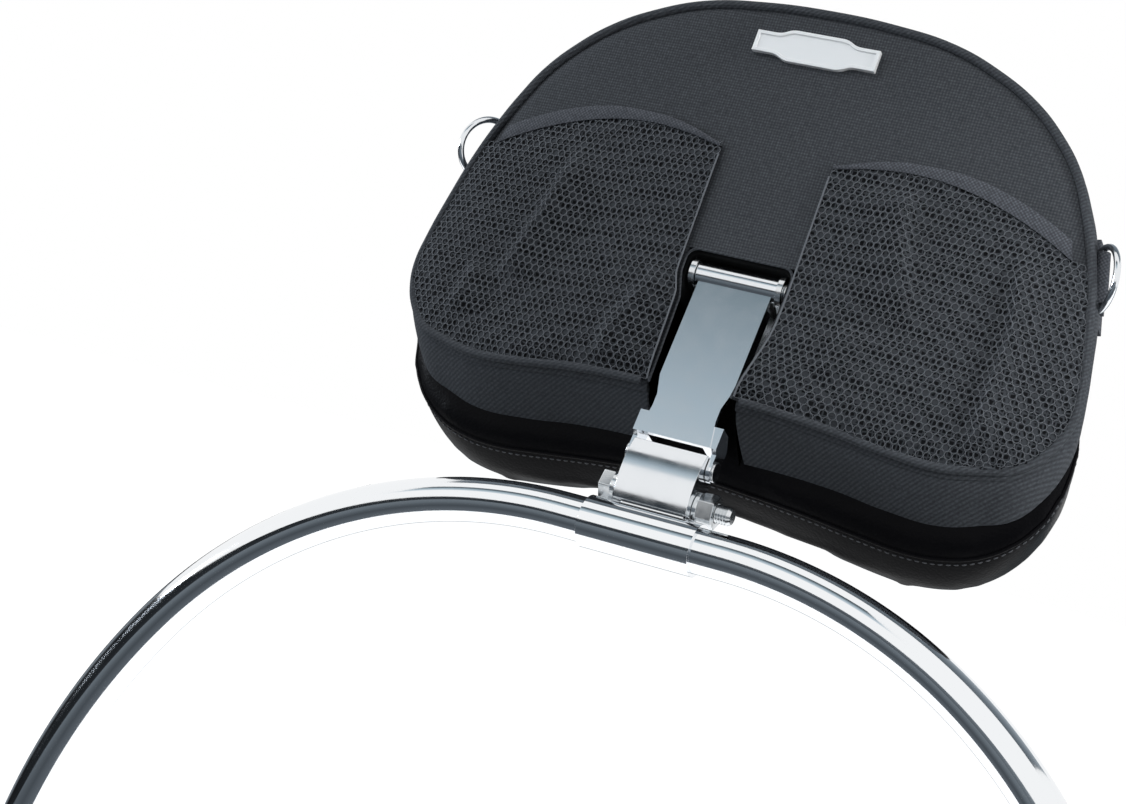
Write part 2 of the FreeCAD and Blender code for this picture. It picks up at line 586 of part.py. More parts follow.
# Cushion: vinyl back panel and front cover sewn at a seam, foam and a board inside
cushion_outer = pad_solid(0.0)
cushion_inner = pad_solid(size("cover_sheet"))
cover_shell = cushion_outer.cut(cushion_inner)
seam_y = back_y + size("seam_height")
far_y = back_y + size("pad_thickness") + 20
screw_holes = []
for x, z in screw_places:
    screw_holes.append(Part.makeCylinder(size("screw_diameter") / 2, 60, Vector(x, back_y - 20, z),
                                         Vector(0, 1, 0)))
back_panel = cover_shell.common(slab(back_y - 20, seam_y)).cut(screw_holes)
front_cover = cover_shell.common(slab(seam_y, far_y))
board_rear = back_y + size("cover_sheet")
board_front = board_rear + size("board_thickness")
tee_flange_radius, tee_flange_height, tee_barrel = 8.0, 1.0, 3.4
board = Part.Face(outline_wire(pad_half, board_rear, 16.0)).extrude(
    Vector(0, size("board_thickness"), 0))
barrels = [Part.makeCylinder(tee_barrel, 60, Vector(x, back_y - 20, z), Vector(0, 1, 0))
           for x, z in screw_places]
flange_seats = [Part.makeCylinder(tee_flange_radius, 20,
                                  Vector(x, board_front - tee_flange_height, z), Vector(0, 1, 0))
                for x, z in screw_places]
board_block = board
board = board.cut(barrels + flange_seats)
foam = cushion_inner.cut(board_block)
for label, shape in (("backing_board", board), ("foam_cushion", foam),
                     ("cover_back_panel", back_panel), ("cover_front", front_cover)):
    pieces.append(shaped(label, shape, PAD_PLACE))

screws, tees = [], []
for x, z in screw_places:
    screw_end = board_front - tee_flange_height
    stem = Part.makeCylinder(size("screw_diameter") / 2, screw_end - plate_rear,
                             Vector(x, plate_rear, z), Vector(0, 1, 0))
    head_radius, head_height = size("screw_head_diameter") / 2, size("screw_head_height")
    dome_start = Vector(x, plate_rear - head_height * 0.35, z)
    rim = Part.makeCylinder(head_radius, head_height * 0.35, dome_start, Vector(0, 1, 0))
    dome = Part.makeCone(head_radius, head_radius * 0.55, head_height * 0.65, dome_start,
                         Vector(0, -1, 0))
    screws.append(stem.fuse([rim, dome]).removeSplitter())
    barrel = Part.makeCylinder(tee_barrel, screw_end - board_rear - 1,
                               Vector(x, board_rear + 1, z), Vector(0, 1, 0))
    flange = Part.makeCylinder(tee_flange_radius, tee_flange_height,
                               Vector(x, screw_end, z), Vector(0, 1, 0))
    bore = Part.makeCylinder(size("screw_diameter") / 2, screw_end - board_rear,
                             Vector(x, board_rear, z), Vector(0, 1, 0))
    tees.append(barrel.fuse(flange).cut(bore))
pieces.append(shaped("bracket_screws", Part.makeCompound(screws), PAD_PLACE))
pieces.append(shaped("board_tee_nuts", Part.makeCompound(tees), PAD_PLACE))


def crown(offset):
    """Long cylinder whose rear side is the crowned rear face, moved back by offset."""
    radius = size("pouch_crown") + offset
    return Part.makeCylinder(radius, 700, Vector(0, size("pouch_crown"), -250), Vector(0, 0, 1))


def spread(half, y):
    """The pouch's outline at depth y: its foot widens downwards from the crowned rear face."""
    points = []
    for x, z in half:
        crown_y = size("pouch_crown") - math.sqrt(size("pouch_crown") ** 2 - x * x)
        low = max(0.0, (middle_z - z) / middle_z)
        share = (y - crown_y) / (back_y - crown_y)
        points.append((x, z - POUCH_DROP * low * share))
    return points


def pouch_block(shrink):
    rear_wire = outline_wire(spread(POUCH_HALF, -6.0), -6.0, shrink)
    front_wire = outline_wire(spread(POUCH_HALF, back_y), back_y, shrink)
    return Part.makeLoft([rear_wire, front_wire], True, True)


# Pouch: padded gusset all round, rear panel, and the lining of the arm's slot
slot_half, slot_top, wall = size("slot_half"), size("slot_height"), size("pouch_wall")


def slot_box(grow):
    width = 2 * (slot_half + grow)
    return Part.makeBox(width, 120, 200 + slot_top + grow, Vector(-width / 2, -60, -200))


pouch_whole = pouch_block(0.0)
pouch_inside = pouch_block(wall)
gusset = pouch_whole.cut(pouch_inside).common(crown(0.0)).cut(slot_box(wall))
panel = pouch_inside.common(crown(0.0)).cut(crown(-wall)).cut(slot_box(wall))
lining = slot_box(wall).cut(slot_box(0.0)).common(pouch_whole).common(crown(0.0))
for label, shape in (("pouch_gusset", gusset), ("pouch_rear_panel", panel),
                     ("pouch_slot_lining", lining)):
    pieces.append(shaped(label, shape, PAD_PLACE))


def on_rear(outline_face, thickness, start=0.0):
    """Sheet of the given outline lying on the crowned rear face."""
    block = outline_face.extrude(Vector(0, 80, 0))
    return block.common(crown(start + thickness)).cut(crown(start))


cord = size("piping_diameter")
ring_out = Part.Face(outline_wire(POUCH_HALF, -20.0, -cord / 2 - 0.2))
ring_in = Part.Face(outline_wire(POUCH_HALF, -20.0, cord / 2 - 0.2))
piping = on_rear(ring_out.cut(ring_in), cord * 0.6, 0.0).cut(slot_box(wall))
pieces.append(shaped("pouch_piping", piping, PAD_PLACE))

# Mesh pockets with a hem tape along the mouth, one each side of the slot
HEM_LOW = [(26.5, 111.5), (45.0, 115.5), (64.0, 117.0), (82.0, 115.5), (99.0, 111.5),
           (117.0, 105.0), (133.5, 97.0)]
HEM_HIGH = [(26.5, 113.0), (46.0, 119.5), (66.0, 122.0), (85.0, 121.5), (103.0, 117.5),
            (120.0, 111.0), (131.0, 105.5)]
pocket_limit = Part.Face(outline_wire(POUCH_HALF, -20.0, cord / 2 + 0.1))


def smooth(points):
    curve = Part.BSplineCurve()
    curve.interpolate(points)
    return curve.toShape()


def pocket_faces(side):
    """Mesh and hem-tape outlines for the pocket at side -1 or +1."""
    def at(x, z):
        return Vector(side * x, -20.0, z)
    low_edge = smooth([at(x, z) for x, z in HEM_LOW])
    high_edge = smooth([at(x, z) for x, z in HEM_HIGH])
    inner_x, outer_x = HEM_LOW[0][0], 175.0
    inner_foot = at(inner_x - 1.2, -30)
    outer_foot, outer_hem = at(outer_x, -30), at(outer_x, HEM_LOW[-1][1] - 12)
    mesh_edges = [low_edge, Part.makeLine(at(*HEM_LOW[-1]), outer_hem),
                  Part.makeLine(outer_hem, outer_foot), Part.makeLine(outer_foot, inner_foot),
                  Part.makeLine(inner_foot, at(*HEM_LOW[0]))]
    tape_edges = [low_edge, Part.makeLine(at(*HEM_LOW[-1]), at(*HEM_HIGH[-1])), high_edge,
                  Part.makeLine(at(*HEM_HIGH[0]), at(*HEM_LOW[0]))]
    mesh = Part.Face(Part.Wire(Part.__sortEdges__(mesh_edges))).common(pocket_limit)
    tape = Part.Face(Part.Wire(Part.__sortEdges__(tape_edges)))
    return mesh, tape


for side, word in ((-1, "left"), (1, "right")):
    mesh_face, tape_face = pocket_faces(side)
    pieces.append(shaped("pocket_mesh_" + word, on_rear(mesh_face, size("pocket_thickness")),
                         PAD_PLACE))
    pieces.append(shaped("pocket_hem_" + word,
                         on_rear(tape_face, size("binding_thickness")), PAD_PLACE))


def side_x(z):
    """Half width of the pouch outline at height z."""
    pairs = list(zip(POUCH_HALF, POUCH_HALF[1:]))
    for (x_a, z_a), (x_b, z_b) in pairs:
        if z_b <= z <= z_a:
            return x_a + (x_b - x_a) * (z_a - z) / (z_a - z_b)
    return POUCH_HALF[-1][0]


# Strap rings: bent wire, the straight bar held by a fabric tab sewn to the gusset
wire = size("ring_wire")
bar_off = wire / 2 + size("turn_clearance") + size("tab_thickness") + 0.3
bar_x = side_x(size("ring_up")) + bar_off


def tab_place(side):
    """Frame in the pad's frame: origin mid bar, Z along the bar, X away from the pouch."""
    tilt = Rotation(Vector(0, 1, 0), -side * size("ring_tilt"))
    turn = Rotation(Vector(0, 0, 1), 0 if side > 0 else 180)
    return Placement(Vector(side * bar_x, size("ring_depth"), size("ring_up")),
                     tilt.multiply(turn))


def ring_place(side):
    """The tab's frame turned so that X points along the ring, to the rear."""
    lean = Rotation(Vector(0, 0, 1), side * (size("ring_lean") - 90))
    return tab_place(side).multiply(Placement(Vector(0, 0, 0), lean))


def ring_solid():
    """A bar and a bow that meet at rounded corners, in the ring's own X Z plane."""
    half_bar = size("ring_length") / 2 - wire / 2
    bow = size("ring_reach") - wire / 2
    radius = (half_bar ** 2 + bow ** 2) / (2 * bow)
    low = Vector(0, 0, -half_bar)
    centre = Vector(bow - radius, 0, 0)
    start_angle = math.degrees(math.atan2(half_bar, radius - bow))
    heading = Vector(half_bar, 0, centre.x)
    bar = Part.makeCylinder(wire / 2, 2 * half_bar, low, along_z)
    arc = round_face(-low, heading, wire / 2).revolve(centre, along_y, 2 * start_angle)
    corners = [Part.makeSphere(wire / 2, corner) for corner in (low, -low)]
    return bar.fuse([arc] + corners).removeSplitter()


def tab_solid(side):
    """Tab folded round the bar, its two ends lying on the gusset in front of the bar."""
    half_tab = size("tab_width") / 2
    inner = wire / 2 + size("turn_clearance")
    outer = inner + size("tab_thickness")
    tail_length, tail_thickness = 12.0, 2.0 * size("tab_thickness")
    loop = Part.makeCylinder(outer, 2 * half_tab, Vector(0, 0, -half_tab), Vector(0, 0, 1))
    tail = Part.makeBox(tail_thickness + 3, tail_length, 2 * half_tab,
                        Vector(-outer - 3, 0 if side > 0 else -tail_length, -half_tab))
    half_patch = half_tab + size("patch_margin")
    patch = Part.makeBox(size("tab_thickness") + 3, tail_length + 3, 2 * half_patch,
                         Vector(-outer - 3, 1.5 if side > 0 else -tail_length - 4.5, -half_patch))
    hole = Part.makeCylinder(inner, 2 * half_tab + 2, Vector(0, 0, -half_tab - 1),
                             Vector(0, 0, 1))
    tab = loop.fuse([tail, patch]).cut(hole)
    tab.Placement = tab_place(side)
    return tab.cut(pouch_whole)


for side, word in ((-1, "left"), (1, "right")):
    pieces.append(shaped("strap_ring_" + word, ring_solid(),
                         PAD_PLACE.multiply(ring_place(side))))
    pieces.append(shaped("ring_tab_" + word, tab_solid(side), PAD_PLACE))

# Name plate, left blank: cast plate with a raised rim, seated on the rear panel
half_w, half_h = size("badge_width") / 2, size("badge_height") / 2


def badge_wire(inset, y):
    """The plate's outline, a wide middle that runs into narrower ends by smooth shoulders."""
    def at(x, z):
        return Vector(x, y, size("badge_up") + z)
    end_h, mid_h = half_h * 0.66 - inset, half_h - inset
    near, far, end_x = half_w * 0.36, half_w * 0.70, half_w - inset
    edges = []
    for side_z in (1, -1):
        crest = Part.BezierCurve()
        crest.setPoles([at(-far, side_z * end_h), at(-(far + near) / 2, side_z * end_h),
                        at(-(far + near) / 2, side_z * mid_h), at(-near, side_z * mid_h)])
        fall = Part.BezierCurve()
        fall.setPoles([at(near, side_z * mid_h), at((far + near) / 2, side_z * mid_h),
                       at((far + near) / 2, side_z * end_h), at(far, side_z * end_h)])
        edges += [Part.makeLine(at(-end_x, side_z * end_h), at(-far, side_z * end_h)),
                  crest.toShape(),
                  Part.makeLine(at(-near, side_z * mid_h), at(near, side_z * mid_h)),
                  fall.toShape(),
                  Part.makeLine(at(far, side_z * end_h), at(end_x, side_z * end_h))]
    edges += [Part.makeLine(at(x, -end_h), at(x, end_h)) for x in (-end_x, end_x)]
    return Part.Wire(Part.__sortEdges__(edges))


plate_y = -size("badge_thickness")
badge = Part.Face(badge_wire(0.0, plate_y)).extrude(Vector(0, size("badge_thickness") + 1.0, 0))
field = Part.Face(badge_wire(size("badge_rim"), plate_y)).extrude(Vector(0, 0.7, 0))
badge = badge.cut(field).cut(crown(0.0))
pieces.append(shaped("name_plate_blank", badge, PAD_PLACE))

# Every object computed, every piece a sound solid, then one file for each piece
doc.recompute()
for item in doc.Objects:
    if "Invalid" in item.State or "Error" in item.State:
        raise RuntimeError("%s did not compute: %s" % (item.Label, item.State))
for piece in pieces:
    if piece.Shape.isNull() or not piece.Shape.isValid() or not piece.Shape.Solids:
        raise RuntimeError("%s is not a sound solid" % piece.Label)
os.makedirs("parts", exist_ok=True)
for piece in pieces:
    piece.Shape.exportStep("parts/%s.step" % piece.Label)
    box = piece.Shape.BoundBox
    print("%-20s solids %d volume %10.1f  x %.1f..%.1f y %.1f..%.1f z %.1f..%.1f" % (
        piece.Label, len(piece.Shape.Solids), piece.Shape.Volume,
        box.XMin, box.XMax, box.YMin, box.YMax, box.ZMin, box.ZMax))
print("%d pieces" % len(pieces))
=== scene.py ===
import math

import bmesh
import bpy
from mathutils import Matrix, Vector, noise
from mathutils.bvhtree import BVHTree


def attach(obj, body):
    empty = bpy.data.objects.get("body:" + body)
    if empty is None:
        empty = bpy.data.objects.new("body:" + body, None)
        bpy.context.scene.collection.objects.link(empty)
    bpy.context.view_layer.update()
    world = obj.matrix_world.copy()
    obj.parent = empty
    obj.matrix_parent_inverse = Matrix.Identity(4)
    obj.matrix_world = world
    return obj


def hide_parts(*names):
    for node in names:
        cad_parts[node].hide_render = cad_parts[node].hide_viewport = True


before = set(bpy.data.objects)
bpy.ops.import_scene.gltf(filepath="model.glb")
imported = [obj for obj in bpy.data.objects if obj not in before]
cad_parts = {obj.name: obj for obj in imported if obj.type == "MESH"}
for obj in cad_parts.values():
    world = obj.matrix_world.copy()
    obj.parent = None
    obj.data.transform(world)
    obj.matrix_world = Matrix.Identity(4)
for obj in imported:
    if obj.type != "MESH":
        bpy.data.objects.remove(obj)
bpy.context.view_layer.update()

scene = bpy.context.scene

# Studio: a white sweep, soft lamps high and low on the left and one on the right, and a
# narrow spot. Grey cards stand round the object and are seen by its reflections only,
# the way a photographer gives bright metal its dark and light bands.


def linear(code):
    """An sRGB hex colour as linear light."""
    shares = [int(code[at:at + 2], 16) / 255 for at in (0, 2, 4)]
    return [s / 12.92 if s <= 0.04045 else ((s + 0.055) / 1.055) ** 2.4 for s in shares] + [1.0]


def add(tree, kind, feeds=None, **settings):
    """Adds a node; feeds gives each input socket its value or the output that drives it."""
    made = tree.nodes.new(kind)
    for name, value in settings.items():
        setattr(made, name, value)
    for socket, value in (feeds or {}).items():
        if isinstance(value, bpy.types.NodeSocket):
            tree.links.new(value, made.inputs[socket])
        else:
            made.inputs[socket].default_value = value
    return made


def seen_directly(tree):
    """1 for rays that the eye, a mirror or glass sends, 0 for rays that carry light."""
    rays = add(tree, "ShaderNodeLightPath")
    first = add(tree, "ShaderNodeMath", {0: rays.outputs["Is Camera Ray"],
                                         1: rays.outputs["Is Glossy Ray"]}, operation="MAXIMUM")
    return add(tree, "ShaderNodeMath", {0: first.outputs[0],
                                        1: rays.outputs["Is Transmission Ray"]},
               operation="MAXIMUM").outputs[0]


scene.view_settings.view_transform = "Standard"
world = bpy.data.worlds.new("studio")
scene.world = world
world.use_nodes = True
world.node_tree.nodes.clear()
ambient = add(world.node_tree, "ShaderNodeBackground",
              {"Color": linear("f4f7fb"), "Strength": 0.37})
sweep = add(world.node_tree, "ShaderNodeBackground",
            {"Color": linear("ffffff"), "Strength": 1.0})
both = add(world.node_tree, "ShaderNodeMixShader", {0: seen_directly(world.node_tree),
                                                    1: ambient.outputs[0], 2: sweep.outputs[0]})
add(world.node_tree, "ShaderNodeOutputWorld", {"Surface": both.outputs[0]})


def stage_card(name, corners, finish):
    """A flat piece of the set, with its corners in metres."""
    shape = bmesh.new()
    shape.faces.new([shape.verts.new(corner) for corner in corners])
    mesh = bpy.data.meshes.new(name)
    shape.to_mesh(mesh)
    shape.free()
    mesh.materials.append(finish)
    card = bpy.data.objects.new(name, mesh)
    scene.collection.objects.link(card)
    return card


# The floor is matt and keeps the object's shadow; to the eye it glows to near white
FLOOR_REACH, FLOOR_LEVEL, FLOOR_GLOW = 9.0, -0.0008, 0.92
floor_finish = bpy.data.materials.new("matt_white_floor")
floor_finish.use_nodes = True
floor_tree = floor_finish.node_tree
floor_tree.nodes.clear()
matt = add(floor_tree, "ShaderNodeBsdfDiffuse", {"Color": linear("9c9d9f")})
glow_level = add(floor_tree, "ShaderNodeMath", {0: seen_directly(floor_tree), 1: FLOOR_GLOW},
                 operation="MULTIPLY")
glow = add(floor_tree, "ShaderNodeEmission", {"Strength": glow_level.outputs[0]})
lit_floor = add(floor_tree, "ShaderNodeAddShader", {0: matt.outputs[0], 1: glow.outputs[0]})
add(floor_tree, "ShaderNodeOutputMaterial", {"Surface": lit_floor.outputs[0]})
stage_card("floor", [(x, y, FLOOR_LEVEL) for x, y in (
    (-FLOOR_REACH, -FLOOR_REACH), (FLOOR_REACH, -FLOOR_REACH),
    (FLOOR_REACH, FLOOR_REACH), (-FLOOR_REACH, FLOOR_REACH))], floor_finish)

# Each card: its name, its corners in metres, the axis that its tone runs along, and the
# tones at places on that axis
CARDS = [
    ("card_low",
     [(-1.5, -1.5, 0.004), (1.7, -1.5, 0.004), (1.7, -0.13, 0.004), (-1.5, -0.13, 0.004)],
     "Y",
     [(-1.5, "737b82"), (-0.7, "646c73"), (-0.35, "474d53"), (-0.13, "5f666d")]),
    ("card_back",
     [(-1.5, -1.5, 0.0), (1.7, -1.5, 0.0), (1.7, -1.5, 0.34), (-1.5, -1.5, 0.34)],
     "X",
     [(-1.5, "16181a"), (-0.6, "33383d"), (0.2, "7f8890"), (0.7, "7a838b"), (1.1, "2b2f33"),
      (1.7, "101112")]),
    ("card_side",
     [(-0.8, -1.5, 0.0), (-0.8, 0.9, 0.0), (-0.8, 0.9, 0.36), (-0.8, -1.5, 0.36)],
     "Y",
     [(-1.5, "2c3034"), (0.0, "141618"), (0.3, "8b939a"), (0.45, "101112"), (0.9, "101112")]),
    ("card_over",
     [(-0.9, 0.0, 1.3), (0.9, 0.0, 1.3), (0.9, 1.2, 1.3), (-0.9, 1.2, 1.3)],
     "Y",
     [(0.0, "5b646b"), (0.5, "79828a"), (1.2, "a4adb4")]),
    ("card_far",
     [(-4.0, 0.55, 0.004), (4.0, 0.55, 0.004), (4.0, 4.0, 0.004), (-4.0, 4.0, 0.004)],
     "Y",
     [(0.55, "dfe4e7"), (0.9, "8e979d"), (4.0, "5c646a")]),
    ("card_front",
     [(-1.1, -0.92, 1.01), (0.1, -0.92, 1.01), (0.1, -0.62, 1.325), (-1.1, -0.62, 1.325)],
     "Z",
     [(1.01, "f4f6f7"), (1.06, "c3d0d8"), (1.12, "b1c0ca"), (1.2, "7c8b93"), (1.27, "4b5358"),
      (1.325, "5a6268")]),
]


def card_material(name, axis, stops):
    """A card whose tone is painted along one axis and shows in reflections only."""
    made = bpy.data.materials.new(name)
    made.use_nodes = True
    tree = made.node_tree
    tree.nodes.clear()
    place_on = add(tree, "ShaderNodeTexCoord")
    parts = add(tree, "ShaderNodeSeparateXYZ", {0: place_on.outputs["Object"]})
    first, last = stops[0][0], stops[-1][0]
    run = add(tree, "ShaderNodeMapRange", {"Value": parts.outputs[axis], "From Min": first,
                                           "From Max": last})
    ramp = add(tree, "ShaderNodeValToRGB", {"Fac": run.outputs[0]})
    for index, (spot_at, tone) in enumerate(stops):
        share = (spot_at - first) / (last - first)
        if index < 2:
            knot = ramp.color_ramp.elements[index]
        else:
            knot = ramp.color_ramp.elements.new(share)
        knot.position = share
        knot.color = linear(tone)
    glow = add(tree, "ShaderNodeEmission", {"Color": ramp.outputs["Color"]})
    add(tree, "ShaderNodeOutputMaterial", {"Surface": glow.outputs[0]})
    return made


for card_name, card_corners, card_axis, card_stops in CARDS:
    card = stage_card(card_name, card_corners, card_material(card_name, card_axis, card_stops))
    card.visible_camera = False
    card.visible_diffuse = False
    card.visible_shadow = False
    card.visible_transmission = False


def lamp(name, kind, stands, aim, watts):
    """A lamp that stands at one place and points at another, both in metres."""
    data = bpy.data.lights.new(name, kind)
    data.energy = watts
    made = bpy.data.objects.new(name, data)
    scene.collection.objects.link(made)
    made.location = stands
    made.rotation_euler = (Vector(aim) - Vector(stands)).to_track_quat("-Z", "Y").to_euler()
    return made


high_lamp = lamp("lamp_left", "AREA", stands=(-1.3, -0.9, 1.9), aim=(0, 0, 0.35), watts=33)
high_lamp.data.size = 1.1
high_lamp.visible_glossy = False
low_lamp = lamp("lamp_low", "AREA", stands=(-1.5, -0.5, 0.45), aim=(0, 0.1, 0.4), watts=9)
low_lamp.data.size = 0.35
low_lamp.data.color = (0.82, 0.9, 1.0)
right_lamp = lamp("lamp_right", "AREA", stands=(1.5, -0.15, 0.75), aim=(0.15, 0.08, 0.4), watts=21)
right_lamp.data.size = 0.6
right_lamp.visible_glossy = False
# A narrow soft spot brightens the pouch's right shoulder
rim_lamp = lamp("lamp_rim", "SPOT", stands=(0.8, -1.0, 0.85), aim=(0.165, 0.03, 0.44), watts=85)
rim_lamp.data.spot_size = math.radians(9)
rim_lamp.data.spot_blend = 1.0
rim_lamp.data.shadow_soft_size = 0.12
rim_lamp.visible_glossy = False

# The camera stands where the photographer's did, a metre behind the backrest
LENS, SENSOR_WIDTH, CLIP_START = 84.2, 36.0, 0.05
CAMERA_PLACE = (0.40296, -1.00330, 0.35340)
camera_data = bpy.data.cameras.new("camera")
camera_data.lens = LENS
camera_data.sensor_width = SENSOR_WIDTH
camera_data.clip_start = CLIP_START
camera = bpy.data.objects.new("camera", camera_data)
scene.collection.objects.link(camera)
scene.camera = camera
to_right = Vector((0.88391, 0.39952, 0.24309))
to_top = Vector((-0.22350, -0.09571, 0.96999))
backwards = Vector((0.41080, -0.91171, 0.00469))
camera.matrix_world = (Matrix.Translation(CAMERA_PLACE)
                       @ Matrix((to_right, to_top, backwards)).transposed().to_4x4())

# Hoop: 19 mm round steel tube, bent cold in a mandrel bender with a straight run at the
# top, then polished and chromed. Bright plating mirrors the room almost unbroken.
MM = 0.001
TUBE_RADIUS, TUBE_WALL = 9.525, 1.65
CROWN_HALF, SHOULDER_RADIUS, LEG_RADIUS, LEG_STRAIGHT = 37.0, 215.0, 290.0, 45.0
SHOULDER_TURN = math.radians(55)
LEG_TURN = math.pi / 2 - SHOULDER_TURN
FOOT_X, CROWN_Z = 265.564, 303.018
TUBE_SEGMENTS, LEG_STEPS, SHOULDER_STEPS = 56, 36, 44
MOUTH_ANGLE, MOUTH_EDGE = 1.2, 0.4


def surface(name, sockets):
    """A new material, its tree and its shader; sockets holds the shader's constants."""
    made = bpy.data.materials.new(name)
    made.use_nodes = True
    made.node_tree.nodes.clear()
    shader = add(made.node_tree, "ShaderNodeBsdfPrincipled", sockets)
    add(made.node_tree, "ShaderNodeOutputMaterial", {"Surface": shader.outputs[0]})
    return made, made.node_tree, shader


def polished(name, colour, low, high, cloud_mm):
    """Plated metal whose roughness drifts between low and high, with faint buffing marks."""
    made, tree, shader = surface(name, {"Base Color": linear(colour), "Metallic": 1.0})
    spot = add(tree, "ShaderNodeTexCoord")
    cloud = add(tree, "ShaderNodeTexNoise", {"Vector": spot.outputs["Object"],
                                             "Scale": 1 / (cloud_mm * MM), "Detail": 3.0})
    drift = add(tree, "ShaderNodeMapRange", {"Value": cloud.outputs["Fac"], "From Min": 0.35,
                                             "From Max": 0.65, "To Min": low, "To Max": high})
    tree.links.new(drift.outputs[0], shader.inputs["Roughness"])
    ripple = add(tree, "ShaderNodeBump", {"Height": cloud.outputs["Fac"], "Strength": 0.05,
                                          "Distance": 0.02 * MM})
    tree.links.new(ripple.outputs[0], shader.inputs["Normal"])
    return made


# Bright chrome on buffed tube: a mirror, with the faint cloudiness that buffing leaves
chrome = polished("chrome_plated_tube", "f1f3f5", low=0.045, high=0.10, cloud_mm=14)


def place(shape, name, body, finish, replaced=(), where=Matrix(), crease=35):
    """Turns a bmesh drawn in millimetres into a piece that rides, in the frame's metres."""
    shape.transform(where @ Matrix.Scale(MM, 4))
    mesh = bpy.data.meshes.new(name)
    shape.to_mesh(mesh)
    shape.free()
    mesh.shade_smooth()
    mesh.set_sharp_from_angle(angle=math.radians(crease))
    mesh.materials.append(finish)
    piece = bpy.data.objects.new(name, mesh)
    scene.collection.objects.link(piece)
    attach(piece, body)
    if replaced:
        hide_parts(*replaced)
    return piece


def new_part(geometry, kind):
    """The vertices or the edges among what an operator made."""
    return [part for part in geometry if isinstance(part, kind)]


tube = bmesh.new()
at_foot = Matrix.Translation((-FOOT_X, 0, 0))
for radius in (TUBE_RADIUS, TUBE_RADIUS - TUBE_WALL):
    bmesh.ops.create_circle(tube, segments=TUBE_SEGMENTS, radius=radius, matrix=at_foot)
ends = tube.edges[:]


def run_straight(shape, loop, along, steps):
    """Draws the tube's ends out along a vector; returns the new ends."""
    for _ in range(steps):
        made = bmesh.ops.extrude_edge_only(shape, edges=loop)["geom"]
        points = new_part(made, bmesh.types.BMVert)
        bmesh.ops.translate(shape, verts=points, vec=Vector(along) / steps)
        loop = [edge for edge in new_part(made, bmesh.types.BMEdge)
                if edge.verts[0] in points and edge.verts[1] in points]
    return loop


def bend(shape, loop, centre, turn, steps):
    """Draws the tube's ends round a bend; returns the new ends."""
    made = bmesh.ops.spin(shape, geom=loop, cent=centre, axis=(0, 1, 0), angle=turn, steps=steps)
    return new_part(made["geom_last"], bmesh.types.BMEdge)


shoulder_centre = Vector((CROWN_HALF, 0, CROWN_Z - SHOULDER_RADIUS))
leg_centre = Vector((FOOT_X - LEG_RADIUS, 0, LEG_STRAIGHT))
front = run_straight(tube, ends, (0, 0, LEG_STRAIGHT), 4)
front = bend(tube, front, (-leg_centre.x, 0, leg_centre.z), LEG_TURN, LEG_STEPS)
front = bend(tube, front, (-shoulder_centre.x, 0, shoulder_centre.z), SHOULDER_TURN,
             SHOULDER_STEPS)
front = run_straight(tube, front, (2 * CROWN_HALF, 0, 0), 6)
front = bend(tube, front, shoulder_centre, SHOULDER_TURN, SHOULDER_STEPS)
front = bend(tube, front, leg_centre, LEG_TURN, LEG_STEPS)
front = run_straight(tube, front, (0, 0, -LEG_STRAIGHT), 4)
for mouth in (ends, front):
    bmesh.ops.bridge_loops(tube, edges=mouth)
bmesh.ops.recalc_face_normals(tube, faces=tube.faces)
rims = [edge for edge in tube.edges
        if edge.is_manifold and edge.calc_face_angle() > MOUTH_ANGLE]
bmesh.ops.bevel(tube, geom=rims, offset=MOUTH_EDGE, segments=2, profile=0.5,
                affect="EDGES", material=-1)
place(tube, "chromed_hoop", "root", chrome, ["hoop_tube"])

# Hinge and arm: a chromed sleeve with a welded lug, a knuckle and an arm pressed from
# steel, tumbled and chromed, and the zinc plated washers, nut, pins, bracket and screws
# that hold them and the cushion. Every sheared edge is rounded.

# Chrome on tumbled steel mirrors a little softly, and bright zinc is greyer and duller
satin_chrome = polished("chrome_plated_pressing", "e6e9ec", low=0.10, high=0.17, cloud_mm=9)
zinc = polished("bright_zinc_hardware", "dfe2e4", low=0.16, high=0.26, cloud_mm=5)
FACET_WELD, FACET_TURN = 0.002, 0.8


def rounded(node, edge_mm, steps=2, sharp=30):
    """A CAD node's mesh copied in millimetres, its facets joined and its edges rounded."""
    shape = bmesh.new()
    shape.from_mesh(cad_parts[node].data)
    shape.transform(Matrix.Scale(1 / MM, 4))
    bmesh.ops.remove_doubles(shape, verts=shape.verts, dist=FACET_WELD)
    bmesh.ops.dissolve_limit(shape, angle_limit=math.radians(FACET_TURN), verts=shape.verts,
                             edges=shape.edges)
    hard = [edge for edge in shape.edges
            if edge.is_manifold and edge.calc_face_angle() > math.radians(sharp)]
    bmesh.ops.bevel(shape, geom=hard, offset=edge_mm, segments=steps, profile=0.5,
                    affect="EDGES", clamp_overlap=True, material=-1)
    return shape


def evenly_shaded(piece):
    """Large faces keep their own flat normals; only the rounded edges blend."""
    weighted = piece.modifiers.new("even_shading", "WEIGHTED_NORMAL")
    weighted.keep_sharp = True
    return piece


